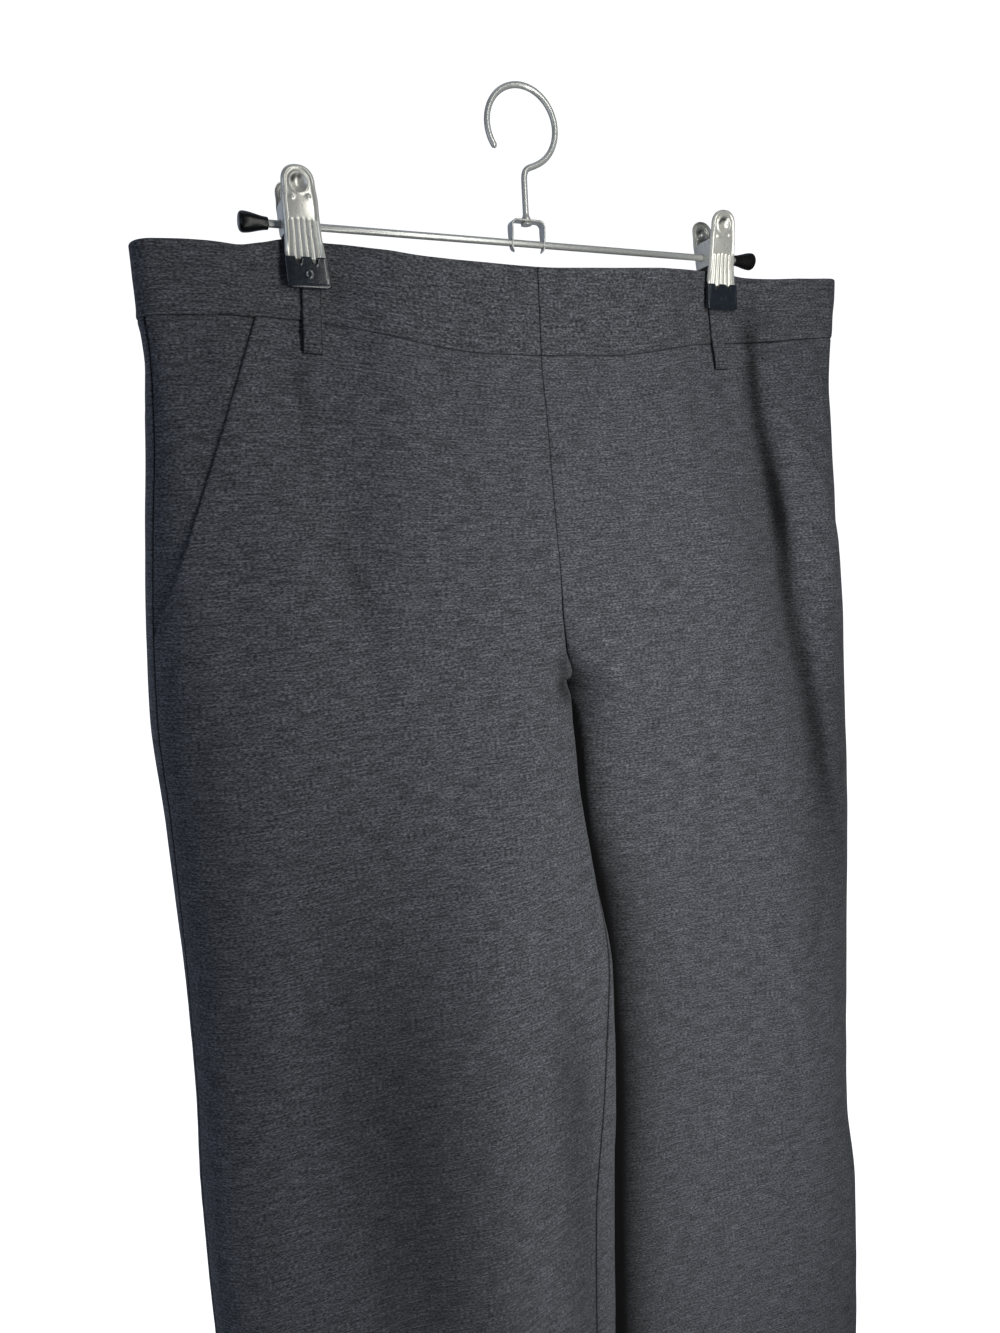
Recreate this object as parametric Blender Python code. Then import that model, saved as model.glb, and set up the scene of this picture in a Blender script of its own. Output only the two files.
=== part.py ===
"""Straight-leg ponte pants held flat by the two clips of a bar hanger.

The origin is the inside top of the hook, where a rail carries it. +X is the wearer's left, -Y is the
front and +Z is up. Sizes below are in millimetres, and heights are measured from the hanger bar's axis.
"""
import math
from functools import lru_cache

import bmesh
import bpy
import numpy as np

MM = 0.001
GAP = 0.3           # clear space between pieces that touch

# Hanger
WIRE_R = 1.7        # hook wire
RING_R = 21.0       # centre line of the hook's ring
RING_HEIGHT = 62.0
BAR_R = 1.9
BAR_HALF = 160.0    # half the bar, over its caps
BAR_Z = -(RING_HEIGHT + RING_R - WIRE_R)
CAP_LENGTH = 14.5
CAP_BORE_DEPTH = 11.0
YOKE_HALF = 10.5
YOKE_TOP = 12.5
YOKE_FOOT = -5.0
YOKE_DEPTH = 6.5
STRIP = 1.0         # thickness of the yoke's strip
STEM_BEND = 33.0    # height where the hook's stem leaves the axis

# Clips
CLIP_X = 130.0
JAW_T = 0.8
HEAD_R = 8.5
HEAD_TOP = 25.4
EAR_TOP = 9.0       # a jaw's ears, that the bar passes through
EAR_FOOT = -6.0
TIP_HALF = 11.25
TIP_TOP = -17.0
TIP_FOOT = -31.9
TIP_GRIP = 5.3      # the front tip's inside face stands this far from the middle of the waist
SPRING_R = 4.6
SWAY_RIGHT = 0.045      # the right clip hangs with its foot a little towards the middle

# Cloth
CLOTH = 1.5
BAND = 2.6
BAND_PROUD = 0.4
LOOP_WIDTH = 10.0
LOOP_T = 1.2
LOOP_TAIL = 17.0    # reach of a loop below the waist seam
FRONT_LOOP_TOP = 125.5  # the front loops lean, their feet further out than their tops
FRONT_LOOP_FOOT = 129.7
BACK_LOOP_X = 72.0
HEM_DEPTH = 30.0
HEM_T = 2.8         # turned up and pressed, two layers
WAIST_TOP = -9.0
WAIST_SEAM = -47.0
CROTCH = -251.0
HEM = -1022.0
MOUTH_TOP_RIGHT = -156.0    # the pocket mouths' tops at the waist seam, from the centre seam
MOUTH_TOP_LEFT = 151.0
MOUTH_FOOT = -200.0
BEARER_FOOT = 1.5   # width left where the bearer's side edge runs under the front panel
INNER_ROUND = 5.0   # rounding of a leg's inner fold

# One row per section. right and left are the garment's side edges, centre the place of its centre
# seams, front and back its half depths, turn the length over which a side rounds off, wrap how far the
# back panel comes round to the front, and pinch how much of the depth the clips press out.
SECTION_COLUMNS = ("height", "right", "centre", "left", "front", "back", "turn", "wrap", "pinch")
SECTIONS = (
    (-9, -212, 0.0, 224, 11.0, 11.0, 9.5, 8, 0.75),
    (-47, -212, -0.5, 221, 11.5, 11.5, 10, 8, 0.73),
    (-64, -211, -1.0, 219, 13.5, 13.0, 12, 8, 0.62),
    (-85, -213, -2.0, 217, 18.0, 17.0, 16, 11, 0.45),
    (-115, -216, -3.5, 217, 23.0, 22.0, 21, 13, 0.28),
    (-150, -220, -4.5, 218, 27.5, 26.5, 26, 13, 0.14),
    (-200, -225, -4.0, 222, 31.0, 31.0, 30, 13, 0.04),
    (-230, -227, 1.0, 224, 32.0, 32.0, 31, 13, 0.01),
    (-251, -228, 11.0, 225, 32.0, 33.0, 32, 13, 0.0),
    (-300, -226.5, 0, 228, 31.0, 32.0, 33, 11, 0.0),
    (-370, -226, 0, 231, 30.0, 30.0, 33, 8, 0.0),
    (-440, -227, 0, 231.5, 29.0, 29.0, 32, 5, 0.0),
    (-510, -231, 0, 233, 28.0, 28.0, 31, 5, 0.0),
    (-600, -232.5, 0, 235, 27.5, 27.5, 30, 5, 0.0),
    (-680, -232, 0, 243, 27.0, 27.0, 30, 5, 0.0),
    (-780, -230, 0, 244, 26.5, 26.5, 29, 5, 0.0),
    (-900, -228, 0, 241, 26.0, 26.0, 28, 5, 0.0),
    (-1022, -226, 0, 238, 25.0, 25.0, 27, 5, 0.0),
)

# Inner folds of the legs. shift is how far the right leg's comes forward and the left leg's goes back,
# reach how far across the leg that carries, taper the length over which the right leg thins to its fold,
# round the length over which the left leg rounds to its own, and turn how far the right leg's back panel
# comes round the fold to the front.
INSEAM_COLUMNS = ("height", "right", "left", "shift", "reach", "taper", "round", "turn")
INSEAMS = (
    (-150, 11, 11, 0, 40, 45, 24, 0),
    (-251, 11, 11, 0, 40, 45, 24, 0),
    (-262, 10, 10, 7, 50, 50, 25, 0),
    (-278, 9, 9, 10, 65, 56, 26, 0),
    (-300, 9, 8.5, 13, 90, 66, 28, 0),
    (-370, 16, 13, 16, 140, 90, 38, 4),
    (-440, 25, 19, 19, 190, 110, 43, 10.5),
    (-510, 24, 20, 19, 220, 110, 45, 17.5),
    (-600, 19, 17, 19, 240, 105, 45, 25),
    (-680, 17, 14, 18, 240, 100, 44, 26),
    (-780, 15, 12, 16, 240, 95, 42, 26),
    (-900, 13, 10, 15, 235, 90, 41, 26),
    (-1022, 12, 9, 14, 230, 85, 40, 26),
)

# The band's top edge and the seam under it, from the wearer's right side to the left.
WAIST_COLUMNS = ("x", "top", "seam")
WAIST = (
    (-212, -14, -48.5),
    (-185, -13, -47.3),
    (-165, -13, -46.2),
    (-150, -10, -45.8),
    (-138, -7.5, -46.5),
    (-112, -8.2, -49),
    (-90, -11, -54),
    (-65, -13.3, -59),
    (-35, -14.2, -62.3),
    (0, -14.8, -62.8),
    (40, -13, -62),
    (68, -11.4, -60),
    (90, -10, -56.3),
    (112, -8.2, -52.6),
    (132, -8, -51.2),
    (150, -10.8, -50.5),
    (170, -12, -50),
    (190, -11, -48.5),
    (224, -9.5, -46.5),
)

# Largest folds: the line each one follows from its top to its foot, its height above the panel, less
# than nothing for a trough, its reach towards either side, and where along it is highest, from 0 to 1.
FOLD_COLUMNS = ("face", "top_x", "top", "foot_x", "foot", "rise", "right", "left", "peak")
FOLDS = (
    ("front", 154, -38, 160, -215, -7.0, 20, 9, 0.40),
    ("front", 152, -110, 206, -450, -10.0, 24, 10, 0.30),
    ("front", 84, -60, 140, -330, 3.0, 30, 18, 0.50),
    ("front", 150, -330, 190, -680, 4.0, 26, 15, 0.40),
    ("front", 186, -60, 204, -230, 3.0, 16, 16, 0.45),
    ("front", -140, -50, -112, -250, -3.5, 13, 16, 0.35),
    ("front", -147, -50, -200, -560, 3.0, 17, 17, 0.40),
    ("front", -88, -60, -30, -245, 2.2, 20, 20, 0.55),
    ("front", -74, -215, -76, -1000, 6.0, 60, 26, 0.45),
    ("front", 110, -620, 102, -980, 2.4, 24, 24, 0.50),
    ("front", -128, -380, -124, -1018, -6.0, 26, 20, 0.62),
    ("front", -80, -420, -82, -1018, 2.0, 26, 18, 0.62),
    ("back", 134, -45, 150, -300, -6.0, 16, 16, 0.35),
    ("back", -136, -45, -148, -250, -5.0, 15, 15, 0.40),
    ("back", 60, -70, 30, -245, 2.6, 22, 22, 0.60),
    ("back", -70, -80, -40, -235, 2.2, 22, 22, 0.50),
    ("back", -110, -300, -118, -900, 4.5, 26, 44, 0.45),
    ("back", 112, -300, 122, -940, 4.5, 40, 26, 0.55),
)

SEAM_ROWS = (-47, -64, -83, -104, -127, -151, -175, -200)
CROTCH_ROWS = (-218, -236, -251, -262, -278, -300)
LEG_ROWS = (-332, -370, -405, -440, -475, -515, -560, -610, -680, -780, -900, -990, -992, -1022)
PANEL_ROWS = SEAM_ROWS + CROTCH_ROWS + LEG_ROWS
# Where the waistband's corners stand, out from the centre, and round its side end along the band
BAND_STATIONS = (0, 25, 50, 72, 92, 105, 117.5, 130, 142.5, 151, 160, 170, 182, 194)
BAND_END = (-15, -10, -5, 0, 5, 10, 15)
FRONT_STEPS = 15
BACK_STEPS = 17
FOLD_HALF = 5.0     # spacing of the back panel's columns at a leg's inner fold
SAMPLES = 90        # points along each face of a section before it is shared into columns

RIGHT = "right"
LEFT = "left"


# ---------------------------------------------------------------- tables and small functions
def column(table, columns, name):
    index = columns.index(name)
    return [row[index] for row in table]


def smooth_between(xs, ys, x):
    """Value of a smooth curve through a table's points that never swings past them."""
    x = min(max(x, xs[0]), xs[-1])
    rates = np.diff(ys) / np.diff(xs)
    slopes = np.zeros(len(xs))
    for k in range(1, len(xs) - 1):
        if rates[k - 1] * rates[k] > 0:
            slopes[k] = 2 * rates[k - 1] * rates[k] / (rates[k - 1] + rates[k])
    i = min(max(int(np.searchsorted(xs, x)) - 1, 0), len(xs) - 2)
    step = xs[i + 1] - xs[i]
    t = (x - xs[i]) / step
    start = (1 + 2 * t) * (1 - t) ** 2 * ys[i] + t * (1 - t) ** 2 * step * slopes[i]
    end = t * t * (3 - 2 * t) * ys[i + 1] + t * t * (t - 1) * step * slopes[i + 1]
    return start + end


@lru_cache(maxsize=None)
def read(table_name, name, height):
    table, columns = {"section": (SECTIONS, SECTION_COLUMNS), "inseam": (INSEAMS, INSEAM_COLUMNS)}[table_name]
    heights = column(table, columns, "height")[::-1]
    return smooth_between(heights, column(table, columns, name)[::-1], height)


def smooth_step(t):
    t = np.clip(t, 0.0, 1.0)
    return t * t * (3 - 2 * t)


def ease_ends(n):
    """n + 1 fractions from 0 to 1, closest together at both ends."""
    return 0.5 - 0.5 * np.cos(np.pi * np.arange(n + 1) / n)


# ---------------------------------------------------------------- the garment's surface
def crotch_depth(height, start):
    """1 above the crotch curve, falling to 0 at the crotch as a quarter ellipse."""
    t = min(max((start - height) / (start - CROTCH), 0.0), 1.0)
    return math.sqrt(1 - t * t)


def pinch_shape(x):
    """1 where a clip presses the waist flat, 0 away from it."""
    flat = TIP_HALF + 1
    reach = 38.0
    return 1 - smooth_step((np.abs(np.abs(x) - CLIP_X) - flat) / reach)


def fold_rise(face, x, height):
    total = np.zeros_like(x)
    for row in FOLDS:
        fold = dict(zip(FOLD_COLUMNS, row))
        along = (fold["top"] - height) / (fold["top"] - fold["foot"])
        if fold["face"] != face or not 0 < along < 1:
            continue
        if along < fold["peak"]:
            strength = float(smooth_step(along / fold["peak"]))
        else:
            strength = float(smooth_step((1 - along) / (1 - fold["peak"])))
        line_x = fold["top_x"] + (fold["foot_x"] - fold["top_x"]) * along
        reach = np.where(x < line_x, fold["right"], fold["left"])
        total += fold["rise"] * strength * np.exp(-((x - line_x) / reach) ** 2)
    return total


@lru_cache(maxsize=None)
def half_section(side, height):
    """One half of the garment, or one leg, at a height: x and y from the front centre seam or inseam
    round the side to the back one, with distances measured along it from the side edge."""
    outer = read("section", side, height)
    seam = read("inseam", side, height) if height < CROTCH else read("section", "centre", height)
    inner = seam + math.copysign(GAP / 2, outer)
    t = ease_ends(SAMPLES)
    x = inner + (outer - inner) * t
    from_outer = abs(outer - inner) * (1 - t)
    from_inner = abs(outer - inner) * t
    side_turn = np.sqrt(1 - np.clip(1 - from_outer / read("section", "turn", height), 0, 1) ** 2)
    pinch = 1 - read("section", "pinch", height) * pinch_shape(x)
    taper = 1 - np.clip(1 - from_inner / read("inseam", "taper", height), 0, 1) ** 2
    fold_end = np.sqrt(1 - np.clip(1 - from_inner / INNER_ROUND, 0, 1) ** 2)
    inner_turn = np.sqrt(1 - np.clip(1 - from_inner / read("inseam", "round", height), 0, 1) ** 2)
    carried = 1 - smooth_step(from_inner / read("inseam", "reach", height))
    shift = read("inseam", "shift", height) * carried * (-1 if side == RIGHT else 1)
    faces = []
    for face, direction, start in (("front", -1, -180.0), ("back", 1, -150.0)):
        deep = crotch_depth(height, start)
        full = read("section", face, height)
        flat_fold = (fold_end * INNER_ROUND + taper * (full - INNER_ROUND)) / full
        thin = deep + (1 - deep) * (flat_fold if side == RIGHT else inner_turn)
        depth = (full * pinch + fold_rise(face, x, height)) * side_turn * thin
        faces.append(np.stack([x, shift + direction * depth], axis=1))
    path = np.concatenate([faces[0], faces[1][::-1][1:]])
    lengths = np.concatenate([[0.0], np.cumsum(np.linalg.norm(np.diff(path, axis=0), axis=1))])
    return lengths - lengths[SAMPLES], path


def waist_drop(x, height):
    """How far the cloth hangs below its nominal height near the waist."""
    drops = []
    for name, nominal in (("top", WAIST_TOP), ("seam", WAIST_SEAM)):
        drops.append(nominal - smooth_between(column(WAIST, WAIST_COLUMNS, "x"),
                                              column(WAIST, WAIST_COLUMNS, name), x))
    return float(np.interp(height, (MOUTH_FOOT, WAIST_SEAM, WAIST_TOP), (0.0, drops[1], drops[0])))


def place(side, height, along):
    """Point on the outer surface: height and distance from the side edge, less than 0 at the front.
    On a leg it goes on round the inner fold, from either face to the other."""
    lengths, path = half_section(side, height)
    if height <= CROTCH:
        along = (along - lengths[0]) % (lengths[-1] - lengths[0]) + lengths[0]
    x = np.interp(along, lengths, path[:, 0])
    y = np.interp(along, lengths, path[:, 1])
    return np.array([x, y, height - waist_drop(x, height)])


def outward(side, height, along):
    """Outward unit normal of the surface there."""
    step = 1.0
    lengths, _ = half_section(side, height)
    low = along - step
    high = along + step
    if height > CROTCH:
        low = max(low, lengths[0])
        high = min(high, lengths[-1])
    across = place(side, height, high) - place(side, height, low)
    down = place(side, height - step, along) - place(side, height + step, along)
    normal = np.cross(across, down)
    if side == LEFT:
        normal = -normal
    return normal / np.linalg.norm(normal)


def along_at_x(side, height, x, face):
    """Distance along the section, from the side edge, of a point given by its x on one face."""
    lengths, path = half_section(side, height)
    part = slice(0, SAMPLES + 1) if face == "front" else slice(SAMPLES, None)
    xs = path[part, 0]
    order = np.argsort(xs)
    return float(np.interp(x, xs[order], lengths[part][order]))


def mouth_along(side, height):
    """Where the slant pocket mouth crosses this height, along the section."""
    fraction = (WAIST_SEAM - height) / (WAIST_SEAM - MOUTH_FOOT)
    seam_along = -read("section", "wrap", MOUTH_FOOT)
    foot_x = place(side, MOUTH_FOOT, seam_along)[0]
    top_x = read("section", "centre", WAIST_SEAM) + (MOUTH_TOP_RIGHT if side == RIGHT else MOUTH_TOP_LEFT)
    return along_at_x(side, height, top_x + (foot_x - top_x) * fraction, "front")


# ---------------------------------------------------------------- meshes
def material(name, color, roughness, metallic):
    made = bpy.data.materials.new(name)
    made.use_nodes = True
    shader = made.node_tree.nodes["Principled BSDF"]
    shader.inputs["Base Color"].default_value = (*color, 1.0)
    shader.inputs["Roughness"].default_value = roughness
    shader.inputs["Metallic"].default_value = metallic
    return made


def add_object(name, mesh, finish):
    mesh.materials.append(finish)
    made = bpy.data.objects.new(name, mesh)
    bpy.context.scene.collection.objects.link(made)
    return made


def mesh_from(name, points, faces):
    """Closed mesh from points in millimetres above the bar, with its faces turned outwards."""
    mesh = bpy.data.meshes.new(name)
    world = [(float(x) * MM, float(y) * MM, (float(z) + BAR_Z) * MM) for x, y, z in points]
    mesh.from_pydata(world, [], faces)
    form = bmesh.new()
    form.from_mesh(mesh)
    bmesh.ops.recalc_face_normals(form, faces=form.faces)
    if form.calc_volume(signed=True) < 0:
        bmesh.ops.reverse_faces(form, faces=form.faces)
    form.to_mesh(mesh)
    form.free()
    return mesh


def wall(name, outer, inner, finish):
    """A sheet with two faces and an edge all round, from two grids of the same size."""
    rows = len(outer)
    columns = len(outer[0])
    points = [p for row in outer for p in row] + [p for row in inner for p in row]
    back = rows * columns

    def at(r, c):
        return r * columns + c

    faces = []
    for r in range(rows - 1):
        for c in range(columns - 1):
            a, b, d, e = at(r, c), at(r, c + 1), at(r + 1, c + 1), at(r + 1, c)
            for triangle in ((a, b, d), (a, d, e)):
                faces.append(triangle)
                faces.append(tuple(back + i for i in reversed(triangle)))
    rim = [at(0, c) for c in range(columns)]
    rim += [at(r, columns - 1) for r in range(1, rows)]
    rim += [at(rows - 1, c) for c in range(columns - 2, -1, -1)]
    rim += [at(r, 0) for r in range(rows - 2, 0, -1)]
    for i, j in zip(rim, rim[1:] + rim[:1]):
        faces.append((j, i, back + i, back + j))
    mesh = mesh_from(name, points, faces)
    mesh.shade_smooth()
    mesh.set_sharp_from_angle(angle=math.radians(50))
    return add_object(name, mesh, finish)


def cloth_row(side, height, positions, outer_lift, thickness, level=None):
    """Outer and inner points of one row of a panel, at distances along the section."""
    outer = []
    inner = []
    for along, lift in zip(positions, outer_lift):
        point = place(side, height, along)
        if level is not None:
            point[2] += level - height
        normal = outward(side, height, along)
        outer.append(point + normal * lift)
        inner.append(point + normal * (lift - thickness))
    return outer, inner


# ---------------------------------------------------------------- cloth
def seam_level(height, top):
    """Rows keep half the gap below a seam above them."""
    return height - GAP / 2 if height == top else height


def side_seam(height):
    """Front edge of the side seam, along the section."""
    return -read("section", "wrap", height) - GAP / 2


def inseam_trim(height):
    """Half the gap at the inseam. Above the crotch the halves already stand apart."""
    return GAP / 2 if height <= CROTCH else 0.0


def panel_thickness(height):
    return HEM_T if height < HEM + HEM_DEPTH + 1 else CLOTH


def front_positions(side, height):
    """Columns of the front panel, from the side seam or pocket mouth to the centre seam or inseam."""
    lengths, _ = half_section(side, height)
    start = side_seam(height)
    if height > MOUTH_FOOT:
        start = mouth_along(side, height)
    end = lengths[0] + inseam_trim(height)
    if side == RIGHT:
        end += read("inseam", "turn", height)
    return start + (end - start) * ease_ends(FRONT_STEPS)


def front_panel(side, finish):
    outer = []
    inner = []
    for height in PANEL_ROWS:
        positions = front_positions(side, height)
        rows = cloth_row(side, height, positions, [0.0] * len(positions), panel_thickness(height),
                         seam_level(height, WAIST_SEAM))
        outer.append(rows[0])
        inner.append(rows[1])
    wall("front_" + side, outer, inner, finish)


def back_panel(side, finish):
    outer = []
    inner = []
    for height in PANEL_ROWS:
        lengths, _ = half_section(side, height)
        start = -read("section", "wrap", height) + GAP / 2
        end = lengths[-1] - inseam_trim(height)
        if side == RIGHT:
            end += read("inseam", "turn", height)
        fold = max(end - lengths[-1], FOLD_HALF)
        before = end - fold - FOLD_HALF
        positions = np.append(start + (before - start) * ease_ends(BACK_STEPS - 3),
                              (end - fold, end - fold / 2, end))
        lifts = [0.0] * len(positions)
        rows = cloth_row(side, height, positions, lifts, panel_thickness(height),
                         seam_level(height, WAIST_SEAM))
        outer.append(rows[0])
        inner.append(rows[1])
    wall("back_" + side, outer, inner, finish)


def pocket_bearer(side, finish):
    """Level with the panels at the side seam, and behind the front panel from the mouth on."""
    outer = []
    inner = []
    below = CLOTH + 2 * GAP
    ramp = (0, 0.3, 0.65, 1.0)
    for height in SEAM_ROWS:
        seam = side_seam(height)
        covered = front_positions(side, height)
        mouth = covered[0] if height > MOUTH_FOOT else seam - BEARER_FOOT
        positions = [seam + (mouth - seam) * f for f in ramp] + list(covered[2:4])
        lifts = [-below * f for f in ramp] + [-below, -below]
        if height <= MOUTH_FOOT:
            lifts = [-below - GAP] * len(positions)
        rows = cloth_row(side, height, positions, lifts, CLOTH, seam_level(height, WAIST_SEAM))
        outer.append(rows[0])
        inner.append(rows[1])
    wall("pocket_bearer_" + side, outer, inner, finish)


def waistband(side, finish):
    """From the centre front seam round the side to the centre back seam."""
    outer = []
    inner = []
    rows_down = 4
    sign = -1 if side == RIGHT else 1
    for i in range(rows_down + 1):
        height = WAIST_TOP + (WAIST_SEAM - WAIST_TOP) * i / rows_down
        front = [along_at_x(side, height, sign * x, "front") for x in BAND_STATIONS]
        back = [along_at_x(side, height, sign * x, "back") for x in BAND_STATIONS]
        positions = front + list(BAND_END) + back[::-1]
        level = height + GAP / 2 if i == rows_down else height
        rows = cloth_row(side, height, positions, [BAND_PROUD] * len(positions), BAND, level)
        outer.append(rows[0])
        inner.append(rows[1])
    wall("waistband_" + side, outer, inner, finish)


def belt_loop(name, face, top_x, foot_x, finish):
    """A folded strip sewn at the top of the band and below the waist seam, standing off in between."""
    outer = []
    inner = []
    steps = 8
    top = WAIST_TOP - 1
    foot = WAIST_SEAM - LOOP_TAIL
    for i in range(steps + 1):
        t = i / steps
        height = top + (foot - top) * t
        clear = BAND_PROUD + GAP + 0.9 * smooth_step((t - 0.55) / 0.25) * smooth_step((1 - t) / 0.1)
        row_outer = []
        row_inner = []
        for across in (-0.5, 0.0, 0.5):
            edge_x = top_x + (foot_x - top_x) * t + across * LOOP_WIDTH
            side = RIGHT if edge_x < 0 else LEFT
            along = along_at_x(side, height, edge_x, face)
            point = place(side, height, along)
            normal = outward(side, height, along)
            row_outer.append(point + normal * (clear + LOOP_T))
            row_inner.append(point + normal * clear)
        outer.append(row_outer)
        inner.append(row_inner)
    wall(name, outer, inner, finish)


# ---------------------------------------------------------------- hanger
def turned_ring(name, profile, finish, center_x, sides=16):
    """Piece turned about the bar's axis, from a closed outline of distance along it and radius."""
    points = []
    for along, radius in profile:
        for k in range(sides):
            angle = 2 * math.pi * k / sides
            points.append((center_x + along, radius * math.cos(angle), radius * math.sin(angle)))
    faces = []
    rings = len(profile)
    for r in range(rings):
        following = (r + 1) % rings
        for k in range(sides):
            faces.append((r * sides + k, r * sides + (k + 1) % sides,
                          following * sides + (k + 1) % sides, following * sides + k))
    mesh = mesh_from(name, points, faces)
    mesh.shade_smooth()
    mesh.set_sharp_from_angle(angle=math.radians(35))
    return add_object(name, mesh, finish)


def rod(name, profile, finish, center_x=0.0, flip=1, sides=16):
    """Turned piece whose outline starts and ends on the axis."""
    points = [(center_x + flip * profile[0][0], 0.0, 0.0), (center_x + flip * profile[-1][0], 0.0, 0.0)]
    rings = profile[1:-1]
    for along, radius in rings:
        for k in range(sides):
            angle = 2 * math.pi * k / sides
            points.append((center_x + flip * along, radius * math.cos(angle), radius * math.sin(angle)))
    faces = []
    for k in range(sides):
        nxt = (k + 1) % sides
        faces.append((0, 2 + k, 2 + nxt))
        last = 2 + (len(rings) - 1) * sides
        faces.append((1, last + nxt, last + k))
        for r in range(len(rings) - 1):
            a = 2 + r * sides
            b = a + sides
            faces.append((a + k, a + nxt, b + nxt, b + k))
    mesh = mesh_from(name, points, faces)
    mesh.shade_smooth()
    mesh.set_sharp_from_angle(angle=math.radians(35))
    return add_object(name, mesh, finish)


def hanger_bar(finish):
    half = BAR_HALF - CAP_LENGTH + CAP_BORE_DEPTH - GAP
    rod("hanger_bar", [(-half, 0.0), (-half, BAR_R), (half, BAR_R), (half, 0.0)], finish)


def hanger_cap(name, flip, finish):
    """Flared cap with a blind bore that the bar's end sits in."""
    bore = BAR_R + GAP
    profile = [(CAP_BORE_DEPTH, 0.0), (CAP_BORE_DEPTH, bore), (0.0, bore), (0.0, 2.9), (0.6, 3.2),
               (9.5, 4.4), (12.0, 5.0), (13.8, 5.0), (CAP_LENGTH, 4.2), (CAP_LENGTH, 0.0)]
    rod(name, profile, finish, center_x=flip * (BAR_HALF - CAP_LENGTH), flip=flip)


def cylinder_cutter(name, axis, center, radius, length):
    """Guide that cuts a round hole, left out of the build."""
    sides = 20
    first = {"x": 1, "y": 0, "z": 0}[axis]
    main = {"x": 0, "y": 1, "z": 2}[axis]
    second = 3 - first - main
    points = []
    for end in (-0.5, 0.5):
        for k in range(sides):
            angle = 2 * math.pi * (k + 0.5) / sides
            point = list(center)
            point[main] += end * length
            point[first] += radius * math.cos(angle)
            point[second] += radius * math.sin(angle)
            points.append(point)
    faces = [tuple(range(sides)), tuple(range(sides, 2 * sides))]
    for k in range(sides):
        nxt = (k + 1) % sides
        faces.append((k, nxt, sides + nxt, sides + k))
    guide = bpy.data.objects.new(name, mesh_from(name, points, faces))
    bpy.context.scene.collection.objects.link(guide)
    guide.hide_render = True
    guide.display_type = "WIRE"
    return guide


def cut(target, guide):
    modifier = target.modifiers.new(guide.name, "BOOLEAN")
    modifier.operation = "DIFFERENCE"
    modifier.solver = "EXACT"
    modifier.object = guide


def hanger_yoke(finish):
    """Inverted U of flat strip that stands on the bar and carries the hook."""
    corner = 3.5
    arc = 5
    line = [(-YOKE_HALF + 1.6, YOKE_FOOT), (-YOKE_HALF, YOKE_FOOT + 2.4)]
    for k in range(arc + 1):
        angle = math.pi - math.pi / 2 * k / arc
        line.append((-YOKE_HALF + corner + corner * math.cos(angle), YOKE_TOP - corner + corner * math.sin(angle)))
    line += [(-x, z) for x, z in reversed(line)]
    tangents = [np.subtract(line[min(i + 1, len(line) - 1)], line[max(i - 1, 0)]) for i in range(len(line))]
    outer = []
    inner = []
    for (x, z), tangent in zip(line, tangents):
        tangent = tangent / np.linalg.norm(tangent)
        ix = x + tangent[1] * STRIP
        iz = z - tangent[0] * STRIP
        outer.append([(x, y, z) for y in (-YOKE_DEPTH / 2, YOKE_DEPTH / 2)])
        inner.append([(ix, y, iz) for y in (-YOKE_DEPTH / 2, YOKE_DEPTH / 2)])
    yoke = wall("hanger_yoke", outer, inner, finish)
    cut(yoke, cylinder_cutter("yoke_bar_hole", "x", (0, 0, 0), BAR_R + GAP, 4 * YOKE_HALF))
    cut(yoke, cylinder_cutter("yoke_stem_hole", "z", (0, 0, YOKE_TOP), WIRE_R + GAP, 4.0))


def hook_line():
    """Centre line of the hook: headed stem up, out to the right, and round the ring to its open end."""
    join = math.radians(-58)
    points = [(0.0, z) for z in np.linspace(YOKE_TOP - 2.6, STEM_BEND, 6)]
    start = np.array([0.0, STEM_BEND])
    end = np.array([RING_R * math.cos(join), RING_HEIGHT + RING_R * math.sin(join)])
    reach = 9.0
    start_pull = start + np.array([0.0, reach])
    end_pull = end - reach * np.array([-math.sin(join), math.cos(join)])
    for t in np.linspace(0, 1, 8)[1:]:
        point = ((1 - t) ** 3 * start + 3 * (1 - t) ** 2 * t * start_pull
                 + 3 * (1 - t) * t * t * end_pull + t ** 3 * end)
        points.append(tuple(point))
    for angle in np.linspace(join, math.radians(218), 27)[1:]:
        points.append((RING_R * math.cos(angle), RING_HEIGHT + RING_R * math.sin(angle)))
    return points


def hanger_hook(finish):
    curve = bpy.data.curves.new("hanger_hook", "CURVE")
    curve.dimensions = "3D"
    curve.bevel_depth = WIRE_R * MM
    curve.bevel_resolution = 2
    curve.use_fill_caps = True
    spline = curve.splines.new("POLY")
    line = hook_line()
    spline.points.add(len(line) - 1)
    for point, (x, z) in zip(spline.points, line):
        point.co = (x * MM, 0.0, (z + BAR_Z) * MM, 1.0)
    hook = bpy.data.objects.new("hanger_hook", curve)
    curve.materials.append(finish)
    bpy.context.scene.collection.objects.link(hook)


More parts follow.
